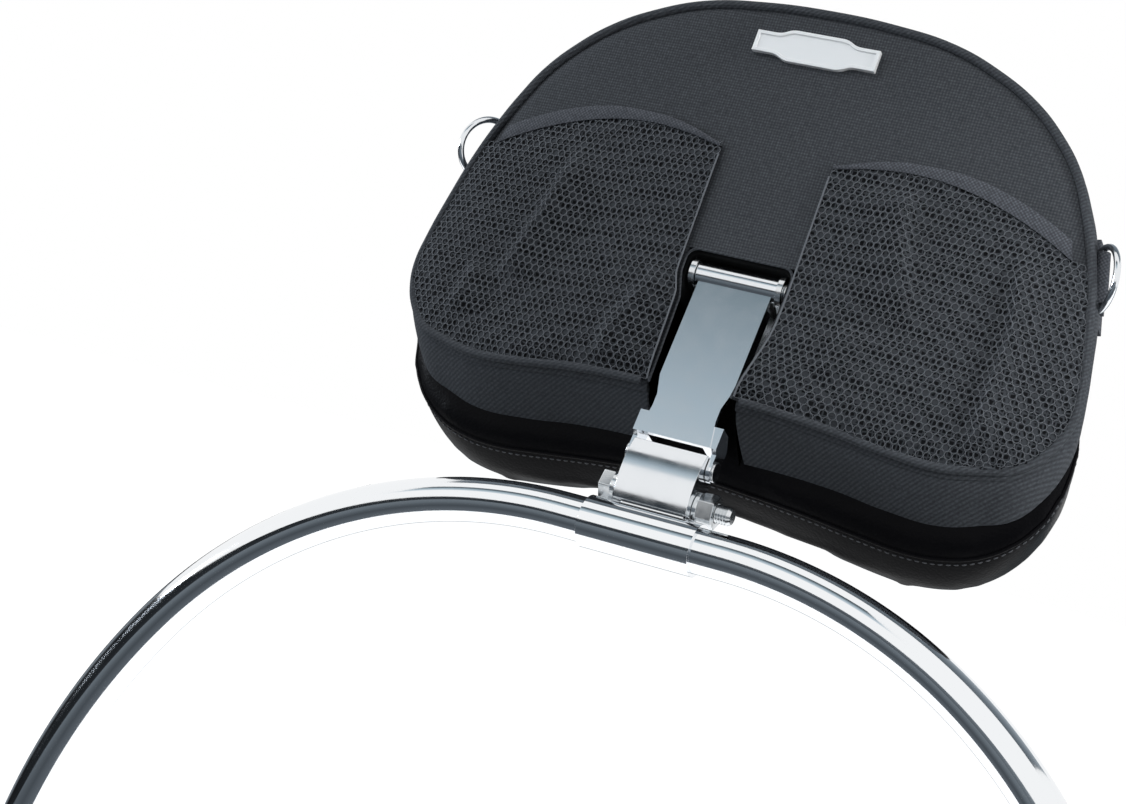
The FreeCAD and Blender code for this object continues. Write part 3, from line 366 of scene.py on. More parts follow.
# Node, body, finish, slot, and the width of the rounded edges in millimetres
HARD_PIECES = [
    ("hinge_sleeve", "root", chrome, "chrome_hinge", 0.5),
    ("head_washer", "root", zinc, "bright_zinc", 0.25),
    ("lock_washer", "root", zinc, "bright_zinc", 0.25),
    ("nut_washer", "root", zinc, "bright_zinc", 0.25),
    ("hinge_nut", "root", zinc, "bright_zinc", 0.3),
    ("hinge_knuckle", "knuckle", satin_chrome, "chrome_hinge", 0.6),
    ("backrest_arm", "arm", satin_chrome, "chrome_hinge", 0.5),
    ("fold_pin", "arm", zinc, "bright_zinc", 0.3),
    ("tilt_pin", "pad", zinc, "bright_zinc", 0.3),
    ("pad_bracket", "pad", zinc, "bright_zinc", 0.4),
    ("bracket_screws", "pad", zinc, "bright_zinc", 0.2),
]
for node, body, finish, slot, edge_mm in HARD_PIECES:
    evenly_shaded(place(rounded(node, edge_mm), node + "_finished", body, finish, [node]))

# Hinge bolt: a cold-headed hex bolt, zinc plated, its rolled thread showing past the nut.
# The thread is drawn as rings, one to each pitch, because its slope would not show.
BOLT_Y, BOLT_Z = 9.8, 319.318
BOLT_HEAD_X, BOLT_END_X = -25.95, 32.8
HEX_FLATS, HEAD_HEIGHT, HEAD_EDGE, BOLT_RADIUS = 12.7, 5.3, 0.45, 3.97
SHANK_START_X = BOLT_HEAD_X + 1
THREAD_START_X, THREAD_PITCH, THREAD_DEPTH, CREST_DEPTH = 20.0, 1.25, 0.62, 0.05
TIP_LENGTH, TIP_TAPER = 1.0, 0.9
along_x = Matrix.Rotation(math.radians(90), 4, "Y")
bolt = bmesh.new()
bmesh.ops.create_cone(bolt, cap_ends=True, segments=6, radius1=HEX_FLATS / math.sqrt(3),
                      radius2=HEX_FLATS / math.sqrt(3), depth=HEAD_HEIGHT,
                      matrix=Matrix.Translation((BOLT_HEAD_X + HEAD_HEIGHT / 2, BOLT_Y, BOLT_Z))
                      @ along_x)
bmesh.ops.bevel(bolt, geom=bolt.edges[:], offset=HEAD_EDGE, segments=2, profile=0.5,
                affect="EDGES", material=-1)
shank = [(0.0, SHANK_START_X), (BOLT_RADIUS, SHANK_START_X), (BOLT_RADIUS, THREAD_START_X)]
turns = int((BOLT_END_X - TIP_LENGTH - THREAD_START_X) / THREAD_PITCH)
for turn in range(turns):
    start = THREAD_START_X + turn * THREAD_PITCH
    shank += [(BOLT_RADIUS - THREAD_DEPTH, start + 0.35 * THREAD_PITCH),
              (BOLT_RADIUS - CREST_DEPTH, start + 0.85 * THREAD_PITCH),
              (BOLT_RADIUS, start + THREAD_PITCH)]
shank += [(BOLT_RADIUS - TIP_TAPER, BOLT_END_X), (0.0, BOLT_END_X)]


def turned(shape, profile, centre, steps=32):
    """Spins a (radius, x) profile round an axis along X through centre."""
    points = [shape.verts.new((x, centre[0] + r, centre[1])) for r, x in profile]
    line = [shape.edges.new(pair) for pair in zip(points, points[1:])]
    bmesh.ops.spin(shape, geom=points + line, cent=(0, centre[0], centre[1]), axis=(1, 0, 0),
                   angle=2 * math.pi, steps=steps, use_merge=True)
    bmesh.ops.remove_doubles(shape, verts=shape.verts, dist=0.001)


turned(bolt, shank, (BOLT_Y, BOLT_Z))
bmesh.ops.recalc_face_normals(bolt, faces=bolt.faces)
evenly_shaded(place(bolt, "hinge_bolt_finished", "root", zinc, ["hinge_bolt"]))

# Cushion: a plywood board and moulded foam under black vinyl. The cover's two halves are
# sewn at a seam near the back edge, turned, and topstitched. Vinyl is calendered with a
# fine leather grain and has a soft, slightly greasy shine.

# It is drawn upright in millimetres: x across, n from the pouch to the rider, z up its
# face. PAD puts that drawing in its place. MIDDLE is the height that outlines shrink
# towards, and BACK_N and SEAM_N are the depths of the cushion's back and of its seam.
PAD_Y, PAD_Z, PAD_LEAN = 17.506, 362.300, math.radians(-15)
PAD = Matrix.Translation((0, PAD_Y * MM, PAD_Z * MM)) @ Matrix.Rotation(PAD_LEAN, 4, "X")
PAD_MM = Matrix.Scale(1 / MM, 4) @ PAD @ Matrix.Scale(MM, 4)
MIDDLE, BACK_N, SEAM_N = 72.0, 32.0, 37.0
# The cover's outline at its seam and where the front is widest, as half outlines (x, z)
SEAM_HALF = [(0, 183), (28, 182), (55, 178), (78, 170), (97, 158), (113, 141), (125, 122),
             (133.5, 104), (140, 85), (145.5, 65), (148.5, 50), (152, 35), (153.5, 20),
             (152.5, 8), (148.5, -5), (140, -16.5), (129, -25), (114, -30), (97, -31.5),
             (75, -29.5), (50, -26.5), (25, -24.5), (0, -23)]
FRONT_HALF = [(0, 177), (27, 176), (53, 172), (74, 164), (92, 151), (106, 135), (117, 117),
              (125.5, 100), (132, 83), (137.5, 65), (141.5, 50), (145.5, 35), (148.5, 20),
              (148.5, 8), (145.5, -6), (138.5, -20), (128, -31), (114, -38), (97, -40.5),
              (75, -39), (50, -35), (25, -31.5), (0, -30)]
# Each ring: its depth, its share of the way from the seam's outline to the front's, and
# how far it is drawn in
PAD_RINGS = [(32.0, 0.0, 9.0), (33.0, 0.0, 4.0), (34.6, 0.0, 1.2), (37.0, 0.0, 0.0),
             (41.0, 0.25, -0.5), (47.0, 0.6, -0.4), (53.0, 0.9, 0.0), (59.0, 1.0, 0.0),
             (66.0, 1.0, 3.0), (72.0, 1.0, 8.0), (76.5, 1.0, 15.0), (79.5, 1.0, 26.0),
             (81.5, 1.0, 46.0), (82.0, 1.0, 72.0)]


def smooth_line(points, closed, steps=6):
    """Points along a smooth line through the given (x, z) points."""
    curve = bpy.data.curves.new("line", "CURVE")
    curve.dimensions = "3D"
    curve.resolution_u = steps
    spline = curve.splines.new("BEZIER")
    spline.bezier_points.add(len(points) - 1)
    spline.use_cyclic_u = closed
    for knot, (x, z) in zip(spline.bezier_points, points):
        knot.co = (x, 0, z)
    for knot in spline.bezier_points:
        knot.handle_left_type = knot.handle_right_type = "AUTO"
    carrier = bpy.data.objects.new("line", curve)
    mesh = bpy.data.meshes.new_from_object(carrier)
    line = [(vertex.co.x, vertex.co.z) for vertex in mesh.vertices]
    bpy.data.objects.remove(carrier)
    bpy.data.curves.remove(curve)
    bpy.data.meshes.remove(mesh)
    return line


def whole(half):
    """The closed outline of a half outline and its mirror image."""
    return half + [(-x, z) for x, z in reversed(half[1:-1])]


def draw_in(line, inset):
    """The outline pulled in by inset towards the pad's middle."""
    wide = max(x for x, z in line)
    tall = (max(z for x, z in line) - min(z for x, z in line)) / 2
    return [(x * (1 - inset / wide), MIDDLE + (z - MIDDLE) * (1 - inset / tall)) for x, z in line]


def lofted(rings):
    """A shape of closed rings of (x, n, z) points, each bridged to the next, and their edges."""
    shape = bmesh.new()
    loops = []
    for ring in rings:
        points = [shape.verts.new(point) for point in ring]
        loops.append([shape.edges.new(pair) for pair in zip(points, points[1:] + points[:1])])
    for first, second in zip(loops, loops[1:]):
        bmesh.ops.bridge_loops(shape, edges=first + second)
    return shape, loops


seam_line = smooth_line(whole(SEAM_HALF), True)
front_line = smooth_line(whole(FRONT_HALF), True)
pad_rings = []
for depth, share, inset in PAD_RINGS:
    ring = [(x + (fx - x) * share, z + (fz - z) * share)
            for (x, z), (fx, fz) in zip(seam_line, front_line)]
    pad_rings.append([(x, depth, z) for x, z in draw_in(ring, inset)])
pad_shape, pad_loops = lofted(pad_rings)
for loop in (pad_loops[0], pad_loops[-1]):
    bmesh.ops.contextual_create(pad_shape, geom=loop)
bmesh.ops.recalc_face_normals(pad_shape, faces=pad_shape.faces)
pad_shape.transform(PAD @ Matrix.Scale(MM, 4))


def settled(piece):
    """The piece's mesh with its modifiers applied."""
    bpy.context.view_layer.update()
    seen = piece.evaluated_get(bpy.context.evaluated_depsgraph_get())
    return bpy.data.meshes.new_from_object(seen)


SMOOTH_PASSES, CLOTH_FRAMES = 4, 20


def stuffed(shape, voxel_mm, pressure, cap_mm, hold):
    """Remeshes a closed form and blows it up as cloth; hold(point) from 0 to 1 keeps a point."""
    mesh = bpy.data.meshes.new("stuffing")
    shape.to_mesh(mesh)
    shape.free()
    work = bpy.data.objects.new("stuffing", mesh)
    scene.collection.objects.link(work)
    remesh = work.modifiers.new("remesh", "REMESH")
    remesh.mode = "VOXEL"
    remesh.voxel_size = voxel_mm * MM
    work.data = settled(work)
    work.modifiers.clear()
    soft = bmesh.new()
    soft.from_mesh(work.data)
    for _ in range(SMOOTH_PASSES):
        bmesh.ops.smooth_vert(soft, verts=soft.verts, factor=0.5, use_axis_x=True,
                              use_axis_y=True, use_axis_z=True)
    soft.to_mesh(work.data)
    soft.free()
    before = [vertex.co.copy() for vertex in work.data.vertices]
    pinned = work.vertex_groups.new(name="pinned")
    for index, point in enumerate(before):
        pinned.add([index], hold(point), "REPLACE")
    cloth = work.modifiers.new("cloth", "CLOTH")
    cloth.settings.vertex_group_mass = "pinned"
    cloth.settings.use_pressure = True
    cloth.settings.uniform_pressure_force = pressure
    cloth.settings.effector_weights.gravity = 0
    cloth.point_cache.frame_start = 1
    cloth.point_cache.frame_end = CLOTH_FRAMES
    for moment in range(1, CLOTH_FRAMES + 1):
        scene.frame_set(moment)
    blown = settled(work)
    scene.frame_set(1)
    work.modifiers.clear()
    for vertex, old, new in zip(work.data.vertices, before, blown.vertices):
        move = (new.co - old) * (1 - hold(old))
        if move.length > cap_mm * MM:
            move *= cap_mm * MM / move.length
        vertex.co = old + move
    divide = work.modifiers.new("divide", "SUBSURF")
    divide.levels = divide.render_levels = 1
    done = bmesh.new()
    done.from_mesh(settled(work))
    bpy.data.objects.remove(work)
    done.transform(Matrix.Scale(1 / MM, 4))
    return done


def eased(value, low, high):
    """0 below low, 1 above high and a smooth climb between."""
    share = min(1.0, max(0.0, (value - low) / (high - low)))
    return share * share * (3 - 2 * share)


into_pad = PAD.inverted()
HELD_MM, FREE_MM = 8, 24


def near_back(point):
    """1 by the board, which the cover is drawn tight over, and 0 from FREE_MM in front of it."""
    return 1.0 - eased((into_pad @ point).y / MM, BACK_N + HELD_MM, BACK_N + FREE_MM)


# Vinyl's clear topcoat over a moulded grain: near black, with a broad soft highlight
vinyl, vinyl_tree, vinyl_shader = surface("grained_black_vinyl", {
    "Base Color": linear("08080a"), "Roughness": 0.36, "Specular IOR Level": 0.05})
spot = add(vinyl_tree, "ShaderNodeTexCoord").outputs["Object"]
# Leather grain: pebbles 1.1 mm across, parted by creases, over a slow unevenness of the hide
pebble = add(vinyl_tree, "ShaderNodeTexVoronoi", {"Vector": spot, "Scale": 1 / (1.1 * MM)},
             feature="SMOOTH_F1")
cloudy = add(vinyl_tree, "ShaderNodeTexNoise",
             {"Vector": spot, "Scale": 1 / (22 * MM), "Detail": 4.0})
gloss = add(vinyl_tree, "ShaderNodeMapRange", {"Value": cloudy.outputs["Fac"], "From Min": 0.3,
                                               "From Max": 0.7, "To Min": 0.33, "To Max": 0.47})
vinyl_tree.links.new(gloss.outputs[0], vinyl_shader.inputs["Roughness"])
grain = add(vinyl_tree, "ShaderNodeBump", {"Height": pebble.outputs["Distance"], "Strength": 0.45,
                                           "Distance": 0.25 * MM}, invert=True)
vinyl_tree.links.new(grain.outputs[0], vinyl_shader.inputs["Normal"])

cushion_mesh = stuffed(pad_shape, voxel_mm=4.0, pressure=4.0, cap_mm=4.0, hold=near_back)
cushion_skin = BVHTree.FromBMesh(cushion_mesh)
cushion = place(cushion_mesh, "vinyl_cushion", "pad", vinyl,
                ["cover_front", "cover_back_panel", "foam_cushion"], crease=60)


def cord(shape, points, radius, closed):
    """Adds a round cord through (x, n, z) points to the shape."""
    curve = bpy.data.curves.new("cord", "CURVE")
    curve.dimensions = "3D"
    curve.bevel_depth = radius
    curve.bevel_resolution = 3
    curve.resolution_u = 2
    curve.use_fill_caps = True
    spline = curve.splines.new("POLY")
    spline.points.add(len(points) - 1)
    for knot, point in zip(spline.points, points):
        knot.co = (*point, 1)
    spline.use_cyclic_u = closed
    carrier = bpy.data.objects.new("cord", curve)
    mesh = bpy.data.meshes.new_from_object(carrier)
    shape.from_mesh(mesh)
    bpy.data.objects.remove(carrier)
    bpy.data.curves.remove(curve)
    bpy.data.meshes.remove(mesh)


def stitches(shape, points, pitch, length, radius):
    """Adds a ring of short rounded stitches along (x, n, z) points to the shape."""
    path = [Vector(point) for point in points]
    path.append(path[0])
    travelled = pitch / 2
    for start, end in zip(path, path[1:]):
        span = (end - start).length
        while travelled < span:
            heading = (end - start).normalized()
            middle = start + heading * travelled
            turn = Vector((0, 0, 1)).rotation_difference(heading).to_matrix().to_4x4()
            shape_size = Matrix.Diagonal((radius, radius, length / 2, 1))
            bmesh.ops.create_uvsphere(shape, u_segments=6, v_segments=4, radius=1,
                                      matrix=Matrix.Translation(middle) @ turn @ shape_size)
            travelled += pitch
        travelled -= span


def on_cushion(line, depth, proud):
    """Points of a line at a depth of the pad, moved onto the cushion's skin."""
    points = []
    for x, z in line:
        found, normal, _, _ = cushion_skin.find_nearest(PAD_MM @ Vector((x, depth, z)))
        points.append(PAD_MM.inverted() @ (found + normal * proud))
    return points


SEAM_RADIUS, SEAM_PROUD = 0.9, 0.1
STITCH_OFF, STITCH_SHARE = 2.6, 0.15
seam = bmesh.new()
cord(seam, on_cushion(seam_line, SEAM_N, SEAM_PROUD), SEAM_RADIUS, True)
place(seam, "cushion_seam", "pad", vinyl, where=PAD)
# Bonded nylon thread: smooth and tight, so it glints a little more than the cloth does
thread = surface("black_bonded_thread", {"Base Color": linear("3c3e42"), "Roughness": 0.45})[0]
topstitch = bmesh.new()
stitch_line = [(x + (fx - x) * STITCH_SHARE, z + (fz - z) * STITCH_SHARE)
               for (x, z), (fx, fz) in zip(seam_line, front_line)]
stitches(topstitch, on_cushion(stitch_line, SEAM_N + STITCH_OFF, SEAM_PROUD),
         pitch=3.3, length=2.3, radius=0.4)
place(topstitch, "cushion_topstitch", "pad", thread, where=PAD)

# Pouch: a padded twill bag sewn to the cushion's back. Its gusset spreads towards the
# cushion, its crowned rear panel is piped all round, and a slot lets the arm in.
POUCH_HALF = [(0, 182), (30, 181), (58, 177.5), (80, 170), (98, 160.5), (112, 149), (124, 135),
              (131, 122), (137, 108), (143, 90), (148, 68), (151.5, 48), (152.5, 35), (150.5, 25),
              (145.5, 15.5), (137, 7), (124, 2.5), (108, -1), (85, -0.5), (60, 2), (40, 3),
              (22, 3), (0, 3)]
# The gusset's foot drops on its way to the cushion, and its rear face is crowned
POUCH_DROP, CROWN_RADIUS, WALL = 17.0, 840.0, 1.6
SLOT_HALF, SLOT_TOP = 24.5, 65.0
pouch_line = smooth_line(whole(POUCH_HALF), True)


def crown(x):
    """Depth of the crowned rear face at x."""
    return CROWN_RADIUS - math.sqrt(CROWN_RADIUS ** 2 - x * x)


# How far the corners beside the slot are drawn in, and the heights over which that fades;
# the right one also swells to the rear
PULL_FROM_X, PULL_TO_X = SLOT_HALF + 2, 66
RIGHT_PULL, RIGHT_PULL_FADE = 7.0, (-4, 40)
RIGHT_SWELL, RIGHT_SWELL_FADE = 4.5, (6, 58)
LEFT_PULL, LEFT_PULL_FADE = 3.4, (42, 54)


def gathered(x, n, z):
    """The soft corners beside the slot lean in towards the arm, most at the foot on the right."""
    reach = 1 - eased(abs(x), PULL_FROM_X, PULL_TO_X)
    if x > 0:
        pull = RIGHT_PULL * (1 - eased(z, *RIGHT_PULL_FADE))
        swell = RIGHT_SWELL * (1 - eased(z, *RIGHT_SWELL_FADE)) * max(0.0, 1 - n / BACK_N)
    else:
        pull = LEFT_PULL * (1 - eased(z, *LEFT_PULL_FADE))
        swell = 0.0
    lean = min(pull, max(0.0, abs(x) - SLOT_HALF + pull)) * reach
    return (x - math.copysign(lean, x), n - swell * reach, z)


def on_gusset(x, z, share, proud=0.0):
    """Point on the gusset, share 0 at its rear edge and 1 on the cushion."""
    n = crown(x) + (BACK_N - crown(x)) * share
    low = max(0.0, (MIDDLE - z) / MIDDLE)
    out = Vector((x, z - MIDDLE)).normalized() * proud
    return (x + out.x, n, z - POUCH_DROP * low * share + out.y)


def lean_in(shape):
    """Gathers every point of a shape that is drawn on the pouch."""
    for vertex in shape.verts:
        vertex.co = gathered(*vertex.co)


def woven(name, threads, low, high, depth_mm):
    """A woven cloth: each thread run is a turn in degrees and a pitch in millimetres."""
    made, tree, shader = surface(name, {"Roughness": 0.85, "Specular IOR Level": 0.12})
    spot = add(tree, "ShaderNodeTexCoord").outputs["Object"]
    uneven = add(tree, "ShaderNodeTexNoise",
                 {"Vector": spot, "Scale": 1 / (1.2 * MM), "Detail": 2.0})
    tone = uneven.outputs["Fac"]
    for degrees, pitch in threads:
        turned_spot = add(tree, "ShaderNodeMapping", {"Vector": spot,
                                                      "Rotation": (0, math.radians(degrees), 0)})
        lines = add(tree, "ShaderNodeTexWave", {"Vector": turned_spot.outputs[0],
                                                "Scale": math.pi / (10 * pitch * MM),
                                                "Distortion": 0.6, "Detail": 2.0,
                                                "Detail Scale": 3.0},
                    wave_type="BANDS", bands_direction="Z", wave_profile="SIN")
        soft_lines = add(tree, "ShaderNodeMapRange",
                         {"Value": lines.outputs["Fac"], "To Min": 0.45})
        tone = add(tree, "ShaderNodeMath", {0: tone, 1: soft_lines.outputs[0]},
                   operation="MULTIPLY").outputs[0]
    # One black yarn throughout: the tone runs low in the gaps between threads, as painted shade,
    # and high on their crests, as painted sheen; the noise adds random unevenness
    colour = add(tree, "ShaderNodeMix", {"Factor": tone, 6: linear(low), 7: linear(high)},
                 data_type="RGBA")
    tree.links.new(colour.outputs[2], shader.inputs["Base Color"])
    bump = add(tree, "ShaderNodeBump",
               {"Height": tone, "Strength": 0.5, "Distance": depth_mm * MM})
    tree.links.new(bump.outputs[0], shader.inputs["Normal"])
    return made


# Spun polyester scatters the light, so the cloth looks matt. The gusset is a twill whose
# lines climb to the right, the rear panel a finer plain canvas; both pitches are a little
# coarser than the real cloth, which would not show
# In each cloth the darker colour is painted shade between the threads and the paler one a painted
# sheen on them
twill = woven("black_polyester_twill", [(38, 1.5)], "26282b", "54585d", depth_mm=0.3)
canvas = woven("black_polyester_canvas", [(0, 1.3), (90, 1.3)], "27292c", "5a5e63", depth_mm=0.15)


def slot_cut(shape, half, top):
    """Removes the part of a shape that the arm's slot takes."""
    for side in (-1, 1):
        bmesh.ops.bisect_plane(shape, geom=shape.verts[:] + shape.edges[:] + shape.faces[:],
                               dist=1e-5, plane_co=(side * half, 0, 0), plane_no=(1, 0, 0))
    bmesh.ops.bisect_plane(shape, geom=shape.verts[:] + shape.edges[:] + shape.faces[:],
                           dist=1e-5, plane_co=(0, 0, top), plane_no=(0, 0, 1))
    gone = []
    for face in shape.faces:
        middle = face.calc_center_median()
        if abs(middle.x) < half and middle.z < top:
            gone.append(face)
    bmesh.ops.delete(shape, geom=gone, context="FACES")


# The gusset's rings: share of its depth, and how far it stands out there. The piping's seam
# pulls a groove, and the seam allowance folded inside shows as a low ridge beside it.
GUSSET_RINGS = [(0.0, -1.4), (0.055, -1.2), (0.075, -0.3), (0.1, 0.6), (0.13, 1.0), (0.155, 0.7),
                (0.175, -0.5), (0.2, 0.6), (0.25, 1.4), (0.35, 1.8), (0.46, 1.7), (0.57, 1.5),
                (0.68, 1.2), (0.79, 0.9), (0.89, 0.4), (1.0, 0.0)]
WAVE_LENGTH, WAVE_DEPTHS, WAVE_HEIGHT = 26, 1.5, 0.9
gusset_rings = []
for share, proud in GUSSET_RINGS:
    ring = []
    for x, z in pouch_line:
        wave = noise.noise(Vector((x / WAVE_LENGTH, share * WAVE_DEPTHS, z / WAVE_LENGTH)))
        wave *= math.sin(math.pi * share)
        ring.append(on_gusset(x, z, share, proud + WAVE_HEIGHT * wave))
    gusset_rings.append(ring)
gusset = lofted(gusset_rings)[0]
slot_cut(gusset, SLOT_HALF + WALL, SLOT_TOP)
bmesh.ops.recalc_face_normals(gusset, faces=gusset.faces)
middle_face = max(gusset.faces, key=lambda face: face.calc_center_median().z)
if middle_face.normal.z < 0:
    bmesh.ops.reverse_faces(gusset, faces=gusset.faces)
bmesh.ops.solidify(gusset, geom=gusset.faces[:], thickness=WALL)
lean_in(gusset)
place(gusset, "pouch_gusset_sewn", "pad", twill, ["pouch_gusset"],
      where=PAD, crease=50)

# The rear panel: padded, so it rises beside the piping and swells a little over its
# middle, and held flat under the name plate. Its rings shrink towards PANEL_CENTRE.
PANEL_CENTRE, PANEL_INSET = Vector((0, 104)), 0.4
PANEL_SHARES = [1.0, 0.985, 0.97, 0.95, 0.93, 0.89, 0.84, 0.79, 0.73, 0.67, 0.61, 0.55, 0.49,
                0.43, 0.37, 0.31, 0.25, 0.19, 0.13, 0.07]
EDGE_RISE, MIDDLE_RISE, UNEVEN_RISE, UNEVEN_LENGTH = 1.0, 0.7, 0.6, 45
PLATE_PRESS, PLATE_FADE_X, PLATE_FADE_Z = 0.85, (38, 52), (134, 148)
EDGE_TUCK = 0.6
panel_line = draw_in(pouch_line, PANEL_INSET)


def panel_height(x, z, share):
    """How far the rear panel swells behind its crowned form."""
    swell = EDGE_RISE * (1 - eased(share, 0.93, 0.985)) + MIDDLE_RISE * (1 - share ** 2)
    uneven = noise.noise(Vector((x / UNEVEN_LENGTH, 3.1, z / UNEVEN_LENGTH)))
    swell += UNEVEN_RISE * uneven * (1 - share ** 6)
    under_plate = (1 - eased(abs(x), *PLATE_FADE_X)) * eased(z, *PLATE_FADE_Z)
    return swell * (1 - PLATE_PRESS * under_plate) - EDGE_TUCK * eased(share, 0.97, 1.0)


panel_rings = []
for share in PANEL_SHARES:
    ring = []
    for x, z in panel_line:
        px = PANEL_CENTRE.x + (x - PANEL_CENTRE.x) * share
        pz = PANEL_CENTRE.y + (z - PANEL_CENTRE.y) * share
        ring.append((px, crown(px) - panel_height(px, pz, share), pz))
    panel_rings.append(ring)
panel, panel_loops = lofted(panel_rings)
bmesh.ops.contextual_create(panel, geom=panel_loops[-1])
slot_cut(panel, SLOT_HALF, SLOT_TOP)
bmesh.ops.recalc_face_normals(panel, faces=panel.faces)
if panel.faces[0].normal.y > 0:
    bmesh.ops.reverse_faces(panel, faces=panel.faces)
bmesh.ops.solidify(panel, geom=panel.faces[:], thickness=WALL)
panel_skin = BVHTree.FromBMesh(panel)
lean_in(panel)
place(panel, "pouch_rear_panel_sewn", "pad", canvas, ["pouch_rear_panel"],
      where=PAD, crease=50)

# The slot's lining: nylon pack cloth that runs from the slot's edge in to the cushion. It
# is smooth but lies in shadow, so it reads as a plain dark wall.
lining_finish = surface("black_nylon_lining", {
    "Base Color": linear("0e0f10"), "Roughness": 0.7, "Specular IOR Level": 0.1})[0]
SLOT_CORNER, CORNER_STEPS = 5.0, 6
slot_heights = [3, 8, 13, 18, 24, 30, 36, 42, 48, 54, SLOT_TOP - SLOT_CORNER]
slot_path = [(-SLOT_HALF, z) for z in slot_heights]
for step in range(1, CORNER_STEPS):
    angle = math.radians(180 - 90 * step / CORNER_STEPS)
    slot_path.append((-SLOT_HALF + SLOT_CORNER + SLOT_CORNER * math.cos(angle),
                      SLOT_TOP - SLOT_CORNER + SLOT_CORNER * math.sin(angle)))
slot_path.append((-SLOT_HALF + SLOT_CORNER, SLOT_TOP))
slot_path += [(-x, z) for x, z in reversed(slot_path)]
lining = bmesh.new()
lining_points = [lining.verts.new((x, crown(x) + 0.4, z)) for x, z in slot_path]
lining_edges = [lining.edges.new(pair) for pair in zip(lining_points, lining_points[1:])]
LINING_STEPS = 4
for step in range(LINING_STEPS):
    made = bmesh.ops.extrude_edge_only(lining, edges=lining_edges)["geom"]
    for vertex in new_part(made, bmesh.types.BMVert):
        vertex.co.y += (BACK_N - 0.2 - vertex.co.y) / (LINING_STEPS - step)
        vertex.co.z -= POUCH_DROP * max(0.0, 1 - vertex.co.z / MIDDLE) / LINING_STEPS
    newest = set(new_part(made, bmesh.types.BMVert))
    lining_edges = [edge for edge in new_part(made, bmesh.types.BMEdge)
                    if edge.verts[0] in newest and edge.verts[1] in newest]
bmesh.ops.recalc_face_normals(lining, faces=lining.faces)
bmesh.ops.solidify(lining, geom=lining.faces[:], thickness=WALL)
lean_in(lining)
place(lining, "slot_lining_sewn", "pad", lining_finish, ["pouch_slot_lining"],
      where=PAD)

# Piping: twill wrapped on a cord round the rear panel's edge, with a thin bound edge
# round the slot. It stops where the arm passes through the pouch's foot.
PIPING_RADIUS, SLOT_EDGE = 2.0, 0.6
PIPING_SUNK, SLOT_EDGE_SUNK = 0.2, 1.2
piping_gap = [index for index, (x, z) in enumerate(pouch_line)
              if abs(x) < SLOT_HALF + WALL and z < MIDDLE]
piping_run = pouch_line[piping_gap[-1] + 1:] + pouch_line[:piping_gap[0]]
piping = bmesh.new()
cord(piping, [gathered(x, crown(x) - PIPING_SUNK, z) for x, z in piping_run],
     PIPING_RADIUS, False)
cord(piping, [gathered(x, crown(x) - SLOT_EDGE_SUNK, z) for x, z in slot_path],
     SLOT_EDGE, False)
place(piping, "pouch_piping_sewn", "pad", twill, ["pouch_piping"], where=PAD)

# Mesh pockets: one each side of the slot, of black warp-knitted netting over a finer
# second layer, sewn down on three sides. A flat tape binds each mouth.

# The tape's lower and upper edges as (x, z) points, x counted from the middle
HEM_LOW = [(26.5, 111.5), (45.0, 115.5), (64.0, 117.0), (82.0, 115.5), (99.0, 111.5),
           (117.0, 105.0), (133.5, 97.0)]
HEM_HIGH = [(26.5, 113.0), (46.0, 119.5), (66.0, 122.0), (85.0, 121.5), (103.0, 117.5),
            (120.0, 111.0), (131.0, 105.5)]
INNER_X = 25.6
# Knitted black polyester yarn: its grey base colour is a painted sheen along each thread, over the
# yarn's own soft gloss
netting = surface("black_polyester_netting_painted_sheen", {
    "Base Color": linear("5c6065"), "Roughness": 0.62, "Specular IOR Level": 0.2})[0]
under, under_tree, under_shader = surface("black_fine_netting", {
    "Base Color": linear("141517"), "Roughness": 0.85, "Specular IOR Level": 0.1})
# The second layer's mesh is finer: cells 2.2 mm across between thin threads
fine_cell = add(under_tree, "ShaderNodeTexVoronoi", {
    "Vector": add(under_tree, "ShaderNodeTexCoord").outputs["Object"], "Scale": 1 / (2.2 * MM),
    "Randomness": 0.35}, feature="DISTANCE_TO_EDGE")
fine_share = add(under_tree, "ShaderNodeMapRange", {"Value": fine_cell.outputs["Distance"],
                                                    "From Min": 0.08, "From Max": 0.2})
fine_colour = add(under_tree, "ShaderNodeMix", {"Factor": fine_share.outputs[0],
                                                6: linear("3a3d41"), 7: linear("101113")},
                  data_type="RGBA")
under_tree.links.new(fine_colour.outputs[2], under_shader.inputs["Base Color"])
# Narrow woven tape: its threads cross on the slant, flatter and paler than the cloth's; its darker
# colour is painted shade between the threads and its paler one a painted sheen on them
tape = woven("black_binding_tape", [(45, 1.2), (-45, 1.2)], "2b2d31", "6d7178", depth_mm=0.1)


def height_at(line, x):
    """Height of a hem line at x."""
    for (x_a, z_a), (x_b, z_b) in zip(line, line[1:]):
        if x_a <= x <= x_b:
            return z_a + (z_b - z_a) * (x - x_a) / (x_b - x_a)
    return line[0][1] if x < line[0][0] else line[-1][1] - (x - line[-1][0]) * 0.5


def inside(line, x, z):
    """Whether (x, z) lies within a closed line."""
    hit = False
    for (x_a, z_a), (x_b, z_b) in zip(line, line[1:] + line[:1]):
        if (z_a > z) != (z_b > z) and x < x_a + (x_b - x_a) * (z - z_a) / (z_b - z_a):
            hit = not hit
    return hit


hem_low = smooth_line(HEM_LOW, False, 10)
hem_high = smooth_line(HEM_HIGH, False, 10)
# Where the netting ends, where its cells' centres may lie, and where the layer under it ends
net_limit = draw_in(pouch_line, 0.9)
cell_limit = draw_in(pouch_line, -0.6)
base_limit = draw_in(pouch_line, 0.6)
